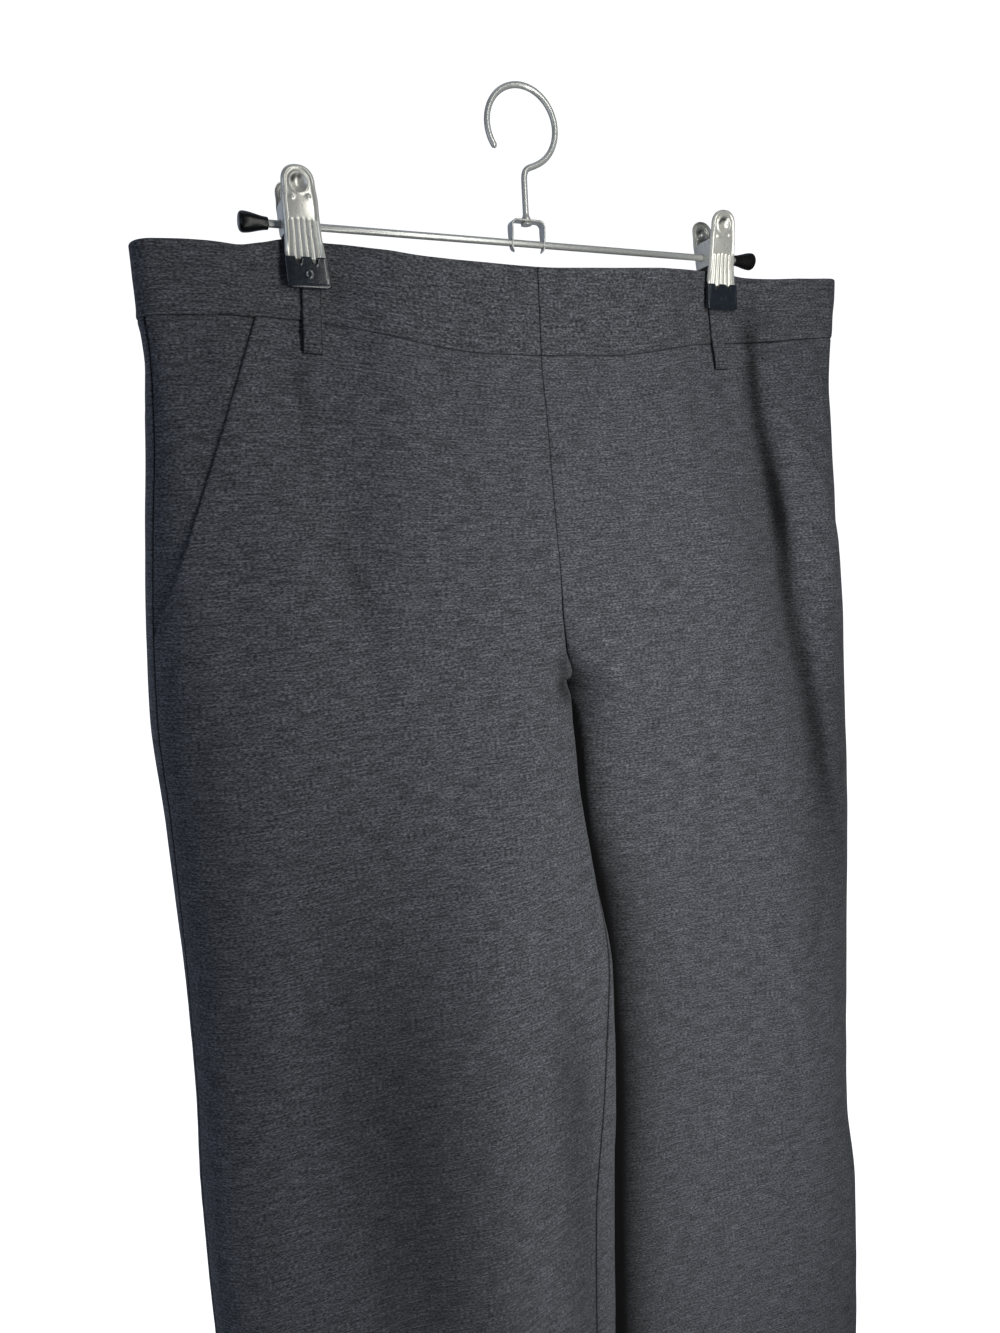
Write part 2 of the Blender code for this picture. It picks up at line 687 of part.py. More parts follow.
# Front jaw's sheet: height, distance in front of the bar, half width, how far its side lips or ears
# reach back, and how far its middle stands out. The back jaw mirrors it.
JAW_COLUMNS = ("height", "out", "half", "ear", "crown")
JAW = (
    (HEAD_TOP, 11.6, 2.2, 0.9, 0.2),
    (24.6, 11.5, 4.6, 0.9, 0.4),
    (22.6, 11.3, 6.7, 0.9, 0.5),
    (19.8, 11.1, 8.0, 0.9, 0.5),
    (16.5, 10.8, HEAD_R, 0.9, 0.5),
    (EAR_TOP + 0.6, 10.1, 8.9, 0.9, 0.5),
    (EAR_TOP, 10.0, 9.2, 14.0, 0.5),
    (3.0, 9.3, 9.2, 14.0, 0.5),
    (-3.0, 8.7, 9.3, 13.2, 0.5),
    (EAR_FOOT + 0.6, 8.4, 9.4, 12.6, 0.5),
    (EAR_FOOT, 8.3, 9.4, 0.9, 0.5),
    (-14.0, 7.6, 10.2, 0.9, 0.3),
    (TIP_TOP + 1.0, 7.4, 10.3, 0.9, 0.0),
    (TIP_FOOT + 1.6, 7.3, 10.3, 0.9, 0.0),
)
BACK_JAW_IN = 1.6       # the back jaw grips the band alone, with no loop between
BACK_JAW_LEAN = 3.5     # and leans out more towards its head
BACK_JAW_NARROW = JAW_T + GAP


def clip_jaw(name, clip_x, sway, direction, narrow, drop_in, lean, finish):
    """Pressed sheet with a lip along each edge that grows into an ear round the bar."""
    outer = []
    inner = []
    for values in JAW:
        row = dict(zip(JAW_COLUMNS, values))
        half = row["half"] - (narrow if row["height"] >= EAR_FOOT else 0.0)
        out = row["out"] - drop_in + lean * max(row["height"] - TIP_TOP, 0.0) / (HEAD_TOP - TIP_TOP)
        height = row["height"]
        x = clip_x - sway * height
        inside = half - JAW_T
        lip = (direction * (out - row["ear"]), height)
        web = [(f, 1 - abs(f)) for f in (-1.0, -0.5, 0.0, 0.5, 1.0)]
        face = [(x + f * half, direction * (out + row["crown"] * rise), height) for f, rise in web]
        hollow = [(x + f * inside, direction * (out + row["crown"] * rise - JAW_T), height) for f, rise in web]
        outer.append([(x - half, *lip)] + face + [(x + half, *lip)])
        inner.append([(x - inside, *lip)] + hollow + [(x + inside, *lip)])
    return wall(name, outer, inner, finish)


def clip_tip(name, clip_x, sway, inside_y, direction, finish):
    """Dipped tip: a sleeve over the jaw's end, closed below and open above."""
    depth = 3.2
    wall_t = 0.75
    near = inside_y
    far = inside_y + direction * depth
    boxes = []
    for half, y0, y1, foot in ((TIP_HALF, near, far, TIP_FOOT),
                               (TIP_HALF - wall_t, near + direction * wall_t, far - direction * wall_t,
                                TIP_FOOT + 1.2)):
        boxes.append([(clip_x - sway * z + sx * half, y, z) for z in (foot, TIP_TOP)
                      for sx, y in ((-1, y0), (1, y0), (1, y1), (-1, y1))])
    points = boxes[0] + boxes[1]
    faces = [(0, 1, 2, 3), (8, 9, 10, 11)]
    for k in range(4):
        n = (k + 1) % 4
        faces.append((k, n, 4 + n, 4 + k))
        faces.append((8 + k, 8 + n, 12 + n, 12 + k))
        faces.append((4 + k, 4 + n, 12 + n, 12 + k))
    mesh = mesh_from(name, points, faces)
    return add_object(name, mesh, finish)


def clip_spring(name, x, finish):
    """Solid outer form of the coil round the bar."""
    half = 6.2
    bore = BAR_R + GAP
    profile = [(-half, bore), (-half, SPRING_R - 0.5), (-half + 0.5, SPRING_R), (half - 0.5, SPRING_R),
               (half, SPRING_R - 0.5), (half, bore)]
    turned_ring(name, profile, finish, x)


def build():
    for old in list(bpy.data.objects):
        bpy.data.objects.remove(old, do_unlink=True)
    ponte = material("ponte_panel", (0.058, 0.062, 0.072), 0.92, 0.0)
    ponte_band = material("ponte_band", (0.052, 0.055, 0.064), 0.92, 0.0)
    ponte_pocket = material("ponte_pocket", (0.046, 0.050, 0.060), 0.93, 0.0)
    ponte_loop = material("ponte_loop", (0.050, 0.053, 0.062), 0.92, 0.0)
    chrome = material("hanger_chrome", (0.72, 0.72, 0.73), 0.18, 1.0)
    pressed = material("clip_steel", (0.70, 0.70, 0.71), 0.24, 1.0)
    wire = material("spring_steel", (0.45, 0.45, 0.46), 0.30, 1.0)
    black = material("cap_plastic", (0.012, 0.012, 0.013), 0.45, 0.0)
    vinyl = material("tip_vinyl", (0.010, 0.011, 0.014), 0.30, 0.0)
    for side, sign in ((RIGHT, -1), (LEFT, 1)):
        front_panel(side, ponte)
        back_panel(side, ponte)
        pocket_bearer(side, ponte_pocket)
        waistband(side, ponte_band)
        belt_loop("belt_loop_front_" + side, "front", sign * FRONT_LOOP_TOP, sign * FRONT_LOOP_FOOT, ponte_loop)
        belt_loop("belt_loop_back_" + side, "back", sign * BACK_LOOP_X, sign * BACK_LOOP_X, ponte_loop)
        hanger_cap("hanger_cap_" + side, sign, black)
        clip = "clip_" + side
        x = sign * CLIP_X
        sway = SWAY_RIGHT if side == RIGHT else 0.0
        front = clip_jaw(clip + "_jaw_front", x, sway, -1, 0.0, 0.0, 0.0, pressed)
        back = clip_jaw(clip + "_jaw_back", x, sway, 1, BACK_JAW_NARROW, BACK_JAW_IN, BACK_JAW_LEAN, pressed)
        hole = cylinder_cutter(clip + "_bore", "x", (x, 0, 0), BAR_R + GAP, 26.0)
        cut(front, hole)
        cut(back, hole)
        clip_spring(clip + "_spring", x, wire)
        clip_tip(clip + "_tip_front", x, sway, -TIP_GRIP, -1, vinyl)
        clip_tip(clip + "_tip_back", x, sway, TIP_GRIP - BACK_JAW_IN, 1, vinyl)
    belt_loop("belt_loop_back_centre", "back", 0.0, 0.0, ponte_loop)
    hanger_bar(chrome)
    hanger_yoke(chrome)
    hanger_hook(chrome)


build()
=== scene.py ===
"""Looks of the straight-leg ponte pants on their clip hanger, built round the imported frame.

Sizes are in millimetres and heights are measured from the hanger bar's axis, as in the part's own
source. The frame says where the bar and the small pieces are. +X is the wearer's left, -Y the front.
"""

import math
from functools import lru_cache

import bmesh
import bpy
import numpy as np
from mathutils import Matrix, Vector


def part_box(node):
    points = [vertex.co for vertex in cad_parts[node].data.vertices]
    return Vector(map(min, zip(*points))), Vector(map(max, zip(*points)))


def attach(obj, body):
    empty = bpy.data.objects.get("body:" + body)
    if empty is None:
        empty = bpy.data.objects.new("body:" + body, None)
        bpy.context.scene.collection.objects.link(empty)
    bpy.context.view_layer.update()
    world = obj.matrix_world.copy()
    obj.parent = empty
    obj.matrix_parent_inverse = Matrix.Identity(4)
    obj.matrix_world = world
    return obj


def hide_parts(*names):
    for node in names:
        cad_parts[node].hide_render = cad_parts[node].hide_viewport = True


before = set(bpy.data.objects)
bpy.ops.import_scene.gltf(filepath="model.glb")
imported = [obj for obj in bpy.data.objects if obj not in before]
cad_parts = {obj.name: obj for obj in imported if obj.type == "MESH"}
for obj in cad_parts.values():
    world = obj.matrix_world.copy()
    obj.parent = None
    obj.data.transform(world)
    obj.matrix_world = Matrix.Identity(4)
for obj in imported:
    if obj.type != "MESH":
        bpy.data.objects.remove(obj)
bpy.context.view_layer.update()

MM = 0.001
GAP = 0.3
BAR_LOW, BAR_HIGH = (np.array(corner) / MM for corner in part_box("hanger_bar"))
BAR_Z = (BAR_LOW[2] + BAR_HIGH[2]) / 2
BAR_R = (BAR_HIGH[2] - BAR_LOW[2]) / 2

# Cloth, as in the part
CLOTH = 1.5
BAND = 2.6
BAND_PROUD = 0.4
LOOP_WIDTH = 10.0
LOOP_T = 1.2
LOOP_TAIL = 17.0
LOOPS = (("front", 125.5, 129.7), ("back", 72.0, 72.0))    # across, at the top and at the foot
HEM_DEPTH = 30.0
HEM_T = 2.8
WAIST_TOP = -9.0
WAIST_SEAM = -47.0
CROTCH = -251.0
HEM = -1022.0
MOUTH_TOP_RIGHT = -156.0
MOUTH_TOP_LEFT = 151.0
MOUTH_FOOT = -200.0
INNER_ROUND = 5.0
CROTCH_CURVE = (("front", -1, -180.0), ("back", 1, -150.0))    # face, its way along y, and where it starts
CLIP_X = 130.0
PRESSED = 12.25         # half the width that a clip presses flat
PRESS_REACH = 38.0

# Hanger, as in the part
WIRE_R = 1.7
RING_R = 21.0
RING_HEIGHT = 62.0
BAR_HALF = 160.0
CAP_LENGTH = 14.5
CAP_BORE_DEPTH = 11.0
YOKE_HALF = 10.5
YOKE_TOP = 12.5
YOKE_FOOT = -5.0
YOKE_DEPTH = 6.5
STRIP = 1.0
STEM_BEND = 33.0
JAW_T = 0.8
HEAD_R = 8.5
HEAD_TOP = 25.4
EAR_TOP = 9.0
EAR_FOOT = -6.0
EAR_CORNER = 3.5
TIP_HALF = 11.25
TIP_TOP = -17.0
TIP_FOOT = -31.9
TIP_GRIP = 5.3
TIP_DEPTH = 3.2
SPRING_R = 4.6
SPRING_HALF = 6.2
SWAY = {"right": 0.045, "left": 0.0}
HEAD_START = 16.5
HEAD_RISE = HEAD_TOP - HEAD_START
HEAD_SQUARE = (2.5, 2.2)    # how squarely the head's outline turns, by height and by width
THUMB_HEIGHT = 17.0
THUMB_R = 4.4
BACK_JAW_IN = 1.6
BACK_JAW_LEAN = 3.5
BACK_JAW_NARROW = JAW_T + GAP
JAW_COLUMNS = ("height", "out", "half")
JAW = (
    (HEAD_TOP, 11.6, HEAD_R),
    (HEAD_START, 10.8, HEAD_R),
    (EAR_TOP, 10.0, 9.2),
    (3.0, 9.3, 9.2),
    (-3.0, 8.7, 9.3),
    (EAR_FOOT, 8.3, 9.4),
    (-14.0, 7.6, 10.2),
    (TIP_TOP + 1.0, 7.4, 10.3),
    (TIP_FOOT + 1.6, 7.3, 10.3),
)

SECTION_COLUMNS = ("height", "right", "centre", "left", "front", "back", "turn", "wrap", "pinch")
SECTIONS = (
    (-9, -212, 0.0, 224, 11.0, 11.0, 9.5, 8, 0.75),
    (-47, -212, -0.5, 221, 11.5, 11.5, 10, 8, 0.73),
    (-64, -211, -1.0, 219, 13.5, 13.0, 12, 8, 0.62),
    (-85, -213, -2.0, 217, 18.0, 17.0, 16, 11, 0.45),
    (-115, -216, -3.5, 217, 23.0, 22.0, 21, 13, 0.28),
    (-150, -220, -4.5, 218, 27.5, 26.5, 26, 13, 0.14),
    (-200, -225, -4.0, 222, 31.0, 31.0, 30, 13, 0.04),
    (-230, -227, 1.0, 224, 32.0, 32.0, 31, 13, 0.01),
    (-251, -228, 11.0, 225, 32.0, 33.0, 32, 13, 0.0),
    (-300, -226.5, 0, 228, 31.0, 32.0, 33, 11, 0.0),
    (-370, -226, 0, 231, 30.0, 30.0, 33, 8, 0.0),
    (-440, -227, 0, 231.5, 29.0, 29.0, 32, 5, 0.0),
    (-510, -231, 0, 233, 28.0, 28.0, 31, 5, 0.0),
    (-600, -232.5, 0, 235, 27.5, 27.5, 30, 5, 0.0),
    (-680, -232, 0, 243, 27.0, 27.0, 30, 5, 0.0),
    (-780, -230, 0, 244, 26.5, 26.5, 29, 5, 0.0),
    (-900, -228, 0, 241, 26.0, 26.0, 28, 5, 0.0),
    (-1022, -226, 0, 238, 25.0, 25.0, 27, 5, 0.0),
)

INSEAM_COLUMNS = ("height", "right", "left", "shift", "reach", "taper", "round", "turn")
INSEAMS = (
    (-150, 11, 11, 0, 40, 45, 24, 0),
    (-251, 11, 11, 0, 40, 45, 24, 0),
    (-262, 10, 10, 7, 50, 50, 25, 0),
    (-278, 9, 9, 10, 65, 56, 26, 0),
    (-300, 9, 8.5, 13, 90, 66, 28, 0),
    (-370, 16, 13, 16, 140, 90, 38, 4),
    (-440, 25, 19, 19, 190, 110, 43, 10.5),
    (-510, 24, 20, 19, 220, 110, 45, 17.5),
    (-600, 19, 17, 19, 240, 105, 45, 25),
    (-680, 17, 14, 18, 240, 100, 44, 26),
    (-780, 15, 12, 16, 240, 95, 42, 26),
    (-900, 13, 10, 15, 235, 90, 41, 26),
    (-1022, 12, 9, 14, 230, 85, 40, 26),
)

WAIST_COLUMNS = ("x", "top", "seam")
WAIST = (
    (-212, -14, -48.5),
    (-185, -13, -47.3),
    (-165, -13, -46.2),
    (-150, -10, -45.8),
    (-138, -7.5, -46.5),
    (-112, -8.2, -49),
    (-90, -11, -54),
    (-65, -13.3, -59),
    (-35, -14.2, -62.3),
    (0, -14.8, -62.8),
    (40, -13, -62),
    (68, -11.4, -60),
    (90, -10, -56.3),
    (112, -8.2, -52.6),
    (132, -8, -51.2),
    (150, -10.8, -50.5),
    (170, -12, -50),
    (190, -11, -48.5),
    (224, -9.5, -46.5),
)

# The part's largest folds, then the lesser ones that only the cloth here has: top and foot (x, height),
# rise, reach to the wearer's right and left, and how far down it is at its full rise
FOLDS = {
    "front": (
        (154, -38, 160, -215, -7.0, 20, 9, 0.40),
        (152, -110, 206, -450, -10.0, 24, 10, 0.30),
        (84, -60, 140, -330, 3.0, 30, 18, 0.50),
        (150, -330, 190, -680, 4.0, 26, 15, 0.40),
        (186, -60, 204, -230, 3.0, 16, 16, 0.45),
        (-140, -50, -112, -250, -3.5, 13, 16, 0.35),
        (-147, -50, -200, -560, 3.0, 17, 17, 0.40),
        (-88, -60, -30, -245, 2.2, 20, 20, 0.55),
        (-74, -215, -76, -1000, 6.0, 60, 26, 0.45),
        (110, -620, 102, -980, 2.4, 24, 24, 0.50),
        (-128, -380, -124, -1018, -6.0, 26, 20, 0.62),
        (-80, -420, -82, -1018, 2.0, 26, 18, 0.62),
    ),
    "back": (
        (134, -45, 150, -300, -6.0, 16, 16, 0.35),
        (-136, -45, -148, -250, -5.0, 15, 15, 0.40),
        (60, -70, 30, -245, 2.6, 22, 22, 0.60),
        (-70, -80, -40, -235, 2.2, 22, 22, 0.50),
        (-110, -300, -118, -900, 4.5, 26, 44, 0.45),
        (112, -300, 122, -940, 4.5, 40, 26, 0.55),
    ),
}
CREASES = {
    "front": (
        (155, -42, 160, -190, -2.4, 8, 4, 0.35),
        (152, -110, 196, -380, -3.0, 8, 4.5, 0.35),
        (96, -64, 128, -262, 2.5, 17, 13, 0.45),
        (214, -300, 222, -1000, -3.5, 12, 22, 0.40),
        (-150, -60, -146, -520, 1.4, 16, 16, 0.40),
        (-122, -66, -112, -420, -1.4, 9, 9, 0.25),
        (-30, -62, -52, -112, 1.3, 11, 11, 0.35),
        (-8, -205, -2, -262, -1.2, 5, 5, 0.75),
        (-26, -222, 2, -256, 0.9, 5, 5, 0.70),
        (-58, -232, -4, -262, -0.9, 7, 7, 0.75),
        (46, -226, 16, -256, 0.9, 6, 6, 0.70),
        (74, -238, 20, -264, -0.8, 8, 8, 0.75),
        (20, -90, 26, -190, 0.8, 14, 14, 0.50),
        (92, -330, 70, -640, -1.4, 17, 17, 0.45),
        (168, -200, 200, -330, 1.4, 9, 9, 0.45),
        (-60, -380, -44, -700, 1.5, 20, 20, 0.50),
        (-196, -260, -204, -560, -1.2, 12, 12, 0.50),
        (60, -680, 64, -1010, -1.4, 18, 18, 0.45),
        (170, -600, 178, -960, 1.6, 16, 16, 0.50),
        (-70, -720, -78, -1015, 1.5, 18, 18, 0.55),
    ),
    "back": (
        (-30, -215, 0, -262, 1.0, 6, 6, 0.70),
        (-66, -225, -6, -268, -1.0, 8, 8, 0.70),
        (50, -214, 14, -258, 1.0, 7, 7, 0.70),
        (80, -230, 20, -270, -1.0, 9, 9, 0.72),
        (0, -66, 4, -150, -1.0, 10, 10, 0.30),
        (90, -280, 84, -560, -1.6, 16, 16, 0.40),
        (176, -330, 190, -720, 1.6, 15, 15, 0.45),
        (-64, -350, -50, -700, -1.5, 17, 17, 0.50),
        (-176, -420, -182, -820, 1.5, 15, 15, 0.50),
        (-120, -760, -112, -1010, -1.4, 18, 18, 0.50),
        (84, -800, 92, -1012, -1.4, 18, 18, 0.55),
    ),
}

# Painted shade: deep narrow hollows of the cloth that hardly any light reaches, and some broad soft patches
# of shade, in the folds' own columns, with the share of light kept out as the rise
PAINTED_SHADES = {
    "front": (
        (153.5, -24, 164, -190, 0.80, 6.5, 3.0, 0.30),
        (157, -90, 176, -270, 0.84, 7, 3.2, 0.42),
        (164, -180, 212, -430, 0.58, 9, 4.5, 0.32),
        (150, -2, 156, -66, 0.34, 9, 14, 0.60),
        (194, -190, 188, -560, 0.32, 14, 34, 0.40),
        (-138, -215, -100, -1021, 0.52, 42, 58, 0.35),
        (-14, -380, -10, -1021, 0.38, 16, 16, 0.20),
        (-206, -170, -214, -1021, 0.24, 16, 18, 0.12),
        (-137, -48, -136, -150, 0.30, 4.0, 5, 0.30),
        (-134, -120, -108, -240, 0.22, 6, 7, 0.45),
        (-66, -95, -45, -156, 0.22, 3.0, 3.0, 0.45),
        (-6, -218, 5, -270, 0.62, 7, 5.0, 0.70),
    ),
    "back": (
        (134, -40, 150, -280, 0.40, 5, 8, 0.30),
        (-136, -40, -148, -240, 0.35, 8, 5, 0.30),
    ),
}

# Painted shade between the legs: how far from the left leg's inner edge no light reaches, and how fast it
# comes back
BETWEEN_COLUMNS = ("height", "dark", "spread")
BETWEEN = (
    (-250, 0.0, 0.6),
    (-260, 0.3, 1.2),
    (-268, 3.8, 1.6),
    (-300, 8.2, 2.6),
    (-340, 9.5, 4.5),
    (-400, 15.0, 11.0),
    (-480, 17.5, 13.0),
    (-560, 19.0, 14.0),
    (-700, 19.0, 14.0),
    (-1022, 17.0, 14.0),
)

SAMPLES = 220
RIGHT = "right"
LEFT = "left"

# Points across a panel and along half of the band
PANEL_COUNT = 104
BAND_COUNT = 190

# Distances in from a sewn edge of a cloth's first rows of points, in steps of this
EDGE_STEPS = np.array([0.0, 0.5, 1.1, 2.0, 3.4, 5.6])
EDGE_STEP = 0.45

# How sewn and folded edges roll under: from how far in, and how deep
SEAM_ROLL = (1.6, 0.8)
SIDE_ROLL = (1.0, 0.45)
HEM_ROLL = (1.4, 0.6)

# Least share of light that the painted shade leaves, and the most that the painted shade between the legs
# keeps out
LEAST_LIGHT = 0.12
BETWEEN_SHADE = 0.99

# Where each kind of piece is cut from the cloth, so that no two show the same flecks
CUT_FROM = {"front": (0, 0), "back": (700, 0), "pocket": (1500, 0), "band": (0, 300), "loop": (2100, 0)}


# ---------------------------------------------------------------- the part's surface, finer
TABLES = {
    "section": dict(zip(SECTION_COLUMNS, np.array(SECTIONS, float).T)),
    "inseam": dict(zip(INSEAM_COLUMNS, np.array(INSEAMS, float).T)),
    "between": dict(zip(BETWEEN_COLUMNS, np.array(BETWEEN, float).T)),
    "waist": dict(zip(WAIST_COLUMNS, np.array(WAIST, float).T)),
    "jaw": dict(zip(JAW_COLUMNS, np.array(JAW, float).T)),
}


def smooth_between(xs, ys, x):
    """Values of a smooth curve through a table's points that never swings past them."""
    x = np.clip(x, xs[0], xs[-1])
    steps = np.diff(xs)
    rates = np.diff(ys) / steps
    slopes = np.zeros(len(xs))
    same = rates[:-1] * rates[1:] > 0
    together = np.where(same, rates[:-1] + rates[1:], 1.0)
    slopes[1:-1] = np.where(same, 2 * rates[:-1] * rates[1:] / together, 0.0)
    i = np.clip(np.searchsorted(xs, x) - 1, 0, len(xs) - 2)
    t = (x - xs[i]) / steps[i]
    start = (1 + 2 * t) * (1 - t) ** 2 * ys[i] + t * (1 - t) ** 2 * steps[i] * slopes[i]
    end = t * t * (3 - 2 * t) * ys[i + 1] + t * t * (t - 1) * steps[i] * slopes[i + 1]
    return start + end


@lru_cache(maxsize=None)
def read(table, name, height):
    """A table's value at a height."""
    return float(smooth_between(TABLES[table]["height"][::-1], TABLES[table][name][::-1], height))


def smooth_step(t):
    t = np.clip(t, 0.0, 1.0)
    return t * t * (3 - 2 * t)


def ease_ends(n):
    """n + 1 fractions from 0 to 1, closest together at both ends."""
    return 0.5 - 0.5 * np.cos(np.pi * np.arange(n + 1) / n)


def quarter(distance, radius):
    """A quarter circle, from 0 at an edge to 1 at a radius in from it."""
    return np.sqrt(1 - np.clip(1 - distance / radius, 0, 1) ** 2)


def hill(distance, reach):
    """A soft hill, 1 high in its middle."""
    return np.exp(-(distance / reach) ** 2)


def lengths_along(path):
    """Distances along a line of points from its first."""
    return np.concatenate([[0.0], np.cumsum(np.linalg.norm(np.diff(path, axis=0), axis=1))])


def directions_along(path):
    tangents = np.gradient(path, axis=0)
    return tangents / np.linalg.norm(tangents, axis=1)[:, None]


def off_clips(x, reach):
    """0 where a clip presses the waist flat, 1 away from it."""
    return smooth_step((np.abs(np.abs(x) - CLIP_X) - PRESSED) / reach)


def fold_rise(folds, x, height):
    total = np.zeros_like(x)
    for top_x, top, foot_x, foot, rise, right, left, peak in folds:
        along = (top - height) / (top - foot)
        if 0 < along < 1:
            strength = smooth_step(along / peak if along < peak else (1 - along) / (1 - peak))
            line_x = top_x + (foot_x - top_x) * along
            total += rise * strength * hill(x - line_x, np.where(x < line_x, right, left))
    return total


@lru_cache(maxsize=None)
def half_section(side, height):
    """One half of the garment, or one leg, at a height: x and y from the front centre seam or inseam
    round the side to the back one, with distances measured along it from the side edge."""
    outer = read("section", side, height)
    seam = read("inseam", side, height) if height < CROTCH else read("section", "centre", height)
    inner = seam + math.copysign(GAP / 2, outer)
    t = ease_ends(SAMPLES)
    x = inner + (outer - inner) * t
    from_inner = abs(outer - inner) * t
    side_turn = quarter(abs(outer - inner) * (1 - t), read("section", "turn", height))
    pinch = 1 - read("section", "pinch", height) * (1 - off_clips(x, PRESS_REACH))
    taper = 1 - np.clip(1 - from_inner / read("inseam", "taper", height), 0, 1) ** 2
    fold_end = quarter(from_inner, INNER_ROUND)
    inner_turn = quarter(from_inner, read("inseam", "round", height))
    carried = 1 - smooth_step(from_inner / read("inseam", "reach", height))
    shift = read("inseam", "shift", height) * carried * (-1 if side == RIGHT else 1)
    faces = []
    for face, direction, start in CROTCH_CURVE:
        deep = quarter(height - CROTCH, start - CROTCH)
        full = read("section", face, height)
        flat_fold = (fold_end * INNER_ROUND + taper * (full - INNER_ROUND)) / full
        thin = deep + (1 - deep) * (flat_fold if side == RIGHT else inner_turn)
        rise = fold_rise(FOLDS[face], x, height) + fold_rise(CREASES[face], x, height)
        depth = (full * pinch + rise) * side_turn * thin
        faces.append(np.stack([x, shift + direction * depth], axis=1))
    path = np.concatenate([faces[0], faces[1][::-1][1:]])
    lengths = lengths_along(path)
    return lengths - lengths[SAMPLES], path


def waist_drop(x, height):
    """How far the cloth hangs below its nominal height near the waist."""
    waist = TABLES["waist"]
    top = smooth_between(waist["x"], WAIST_TOP - waist["top"], x)
    seam = smooth_between(waist["x"], WAIST_SEAM - waist["seam"], x)
    if height >= WAIST_SEAM:
        return seam + (top - seam) * min((height - WAIST_SEAM) / (WAIST_TOP - WAIST_SEAM), 1.0)
    return seam * max((height - MOUTH_FOOT) / (WAIST_SEAM - MOUTH_FOOT), 0.0)


def place(side, height, along):
    """Points on the outer surface at distances from the side edge, less than 0 at the front.
    On a leg they go on round the inner fold, from either face to the other."""
    lengths, path = half_section(side, height)
    if height <= CROTCH:
        along = (along - lengths[0]) % (lengths[-1] - lengths[0]) + lengths[0]
    x = np.interp(along, lengths, path[:, 0])
    y = np.interp(along, lengths, path[:, 1])
    return np.stack([x, y, height - waist_drop(x, height)], axis=1)


def outward(side, height, along):
    """Outward unit normals of the surface there."""
    step = 0.8
    lengths, _ = half_section(side, height)
    low = along - step
    high = along + step
    if height > CROTCH:
        low = np.maximum(low, lengths[0])
        high = np.minimum(high, lengths[-1])
    across = place(side, height, high) - place(side, height, low)
    down = place(side, height - step, along) - place(side, height + step, along)
    normal = np.cross(across, down)
    if side == LEFT:
        normal = -normal
    return normal / np.linalg.norm(normal, axis=1)[:, None]


def along_at_x(side, height, x, face):
    """Distances along the section, from the side edge, of points given by x on one face."""
    lengths, path = half_section(side, height)
    part = slice(0, SAMPLES + 1) if face == "front" else slice(SAMPLES, None)
    xs = path[part, 0]
    order = np.argsort(xs)
    return np.interp(x, xs[order], lengths[part][order])


def mouth_along(side, height):
    """Where the slant pocket mouth crosses this height, along the section."""
    fraction = (WAIST_SEAM - height) / (WAIST_SEAM - MOUTH_FOOT)
    seam_along = -read("section", "wrap", MOUTH_FOOT)
    foot_x = place(side, MOUTH_FOOT, np.array([seam_along]))[0, 0]
    top_x = read("section", "centre", WAIST_SEAM)
    top_x += MOUTH_TOP_RIGHT if side == RIGHT else MOUTH_TOP_LEFT
    return float(along_at_x(side, height, top_x + (foot_x - top_x) * fraction, "front"))


# ---------------------------------------------------------------- meshes
def add_object(name, mesh, finish):
    mesh.materials.append(finish)
    made = bpy.data.objects.new(name, mesh)
    bpy.context.scene.collection.objects.link(made)
    return made


def solid(name, points, faces, finish, sharp=None, uvs=None, lights=None):
    """Closed piece from points in millimetres above the bar, with its faces turned outwards. Cloth
    also has a cloth coordinate and a share of light let in for each point, which its finish paints in as
    shade."""
    mesh = bpy.data.meshes.new(name)
    mesh.from_pydata(((np.asarray(points, float) + (0, 0, BAR_Z)) * MM).tolist(), [], faces)
    if uvs is not None:
        corners = np.zeros(len(mesh.loops), np.int32)
        mesh.loops.foreach_get("vertex_index", corners)
        mesh.uv_layers.new(name="cloth").data.foreach_set("uv", (uvs[corners] * MM).ravel())
        mesh.attributes.new("let_in", "FLOAT", "POINT").data.foreach_set("value", lights)
    mesh.shade_smooth()
    form = bmesh.new()
    form.from_mesh(mesh)
    bmesh.ops.recalc_face_normals(form, faces=form.faces)
    if form.calc_volume(signed=True) < 0:
        bmesh.ops.reverse_faces(form, faces=form.faces)
    form.to_mesh(mesh)
    form.free()
    if sharp is not None:
        mesh.set_sharp_from_angle(angle=math.radians(sharp))
    return add_object(name, mesh, finish)


def shell(name, outer, inner, finish, uvs=None, lights=None):
    """Closed sheet from two grids of points of the same size."""
    outer = np.array(outer)
    rows, columns = outer.shape[:2]
    points = np.concatenate([outer.reshape(-1, 3), np.reshape(inner, (-1, 3))])
    back = rows * columns
    r, c = np.meshgrid(np.arange(rows - 1), np.arange(columns - 1), indexing="ij")
    a = (r * columns + c).ravel()
    quads = np.stack([a, a + 1, a + columns + 1, a + columns], axis=1)
    faces = quads.tolist() + (quads[:, ::-1] + back).tolist()
    rim = list(range(columns))
    rim += [r * columns + columns - 1 for r in range(1, rows)]
    rim += [(rows - 1) * columns + c for c in range(columns - 2, -1, -1)]
    rim += [r * columns for r in range(rows - 2, 0, -1)]
    faces += [(j, i, back + i, back + j) for i, j in zip(rim, rim[1:] + rim[:1])]
    if uvs is not None:
        uvs = np.concatenate([np.reshape(uvs, (-1, 2))] * 2)
        lights = np.concatenate([np.ravel(lights)] * 2)
    return solid(name, points, faces, finish, None, uvs, lights)


def dress(piece, node):
    """Rides the piece on the one body and hides the part's piece that it stands for."""
    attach(piece, "root")
    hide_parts(node)


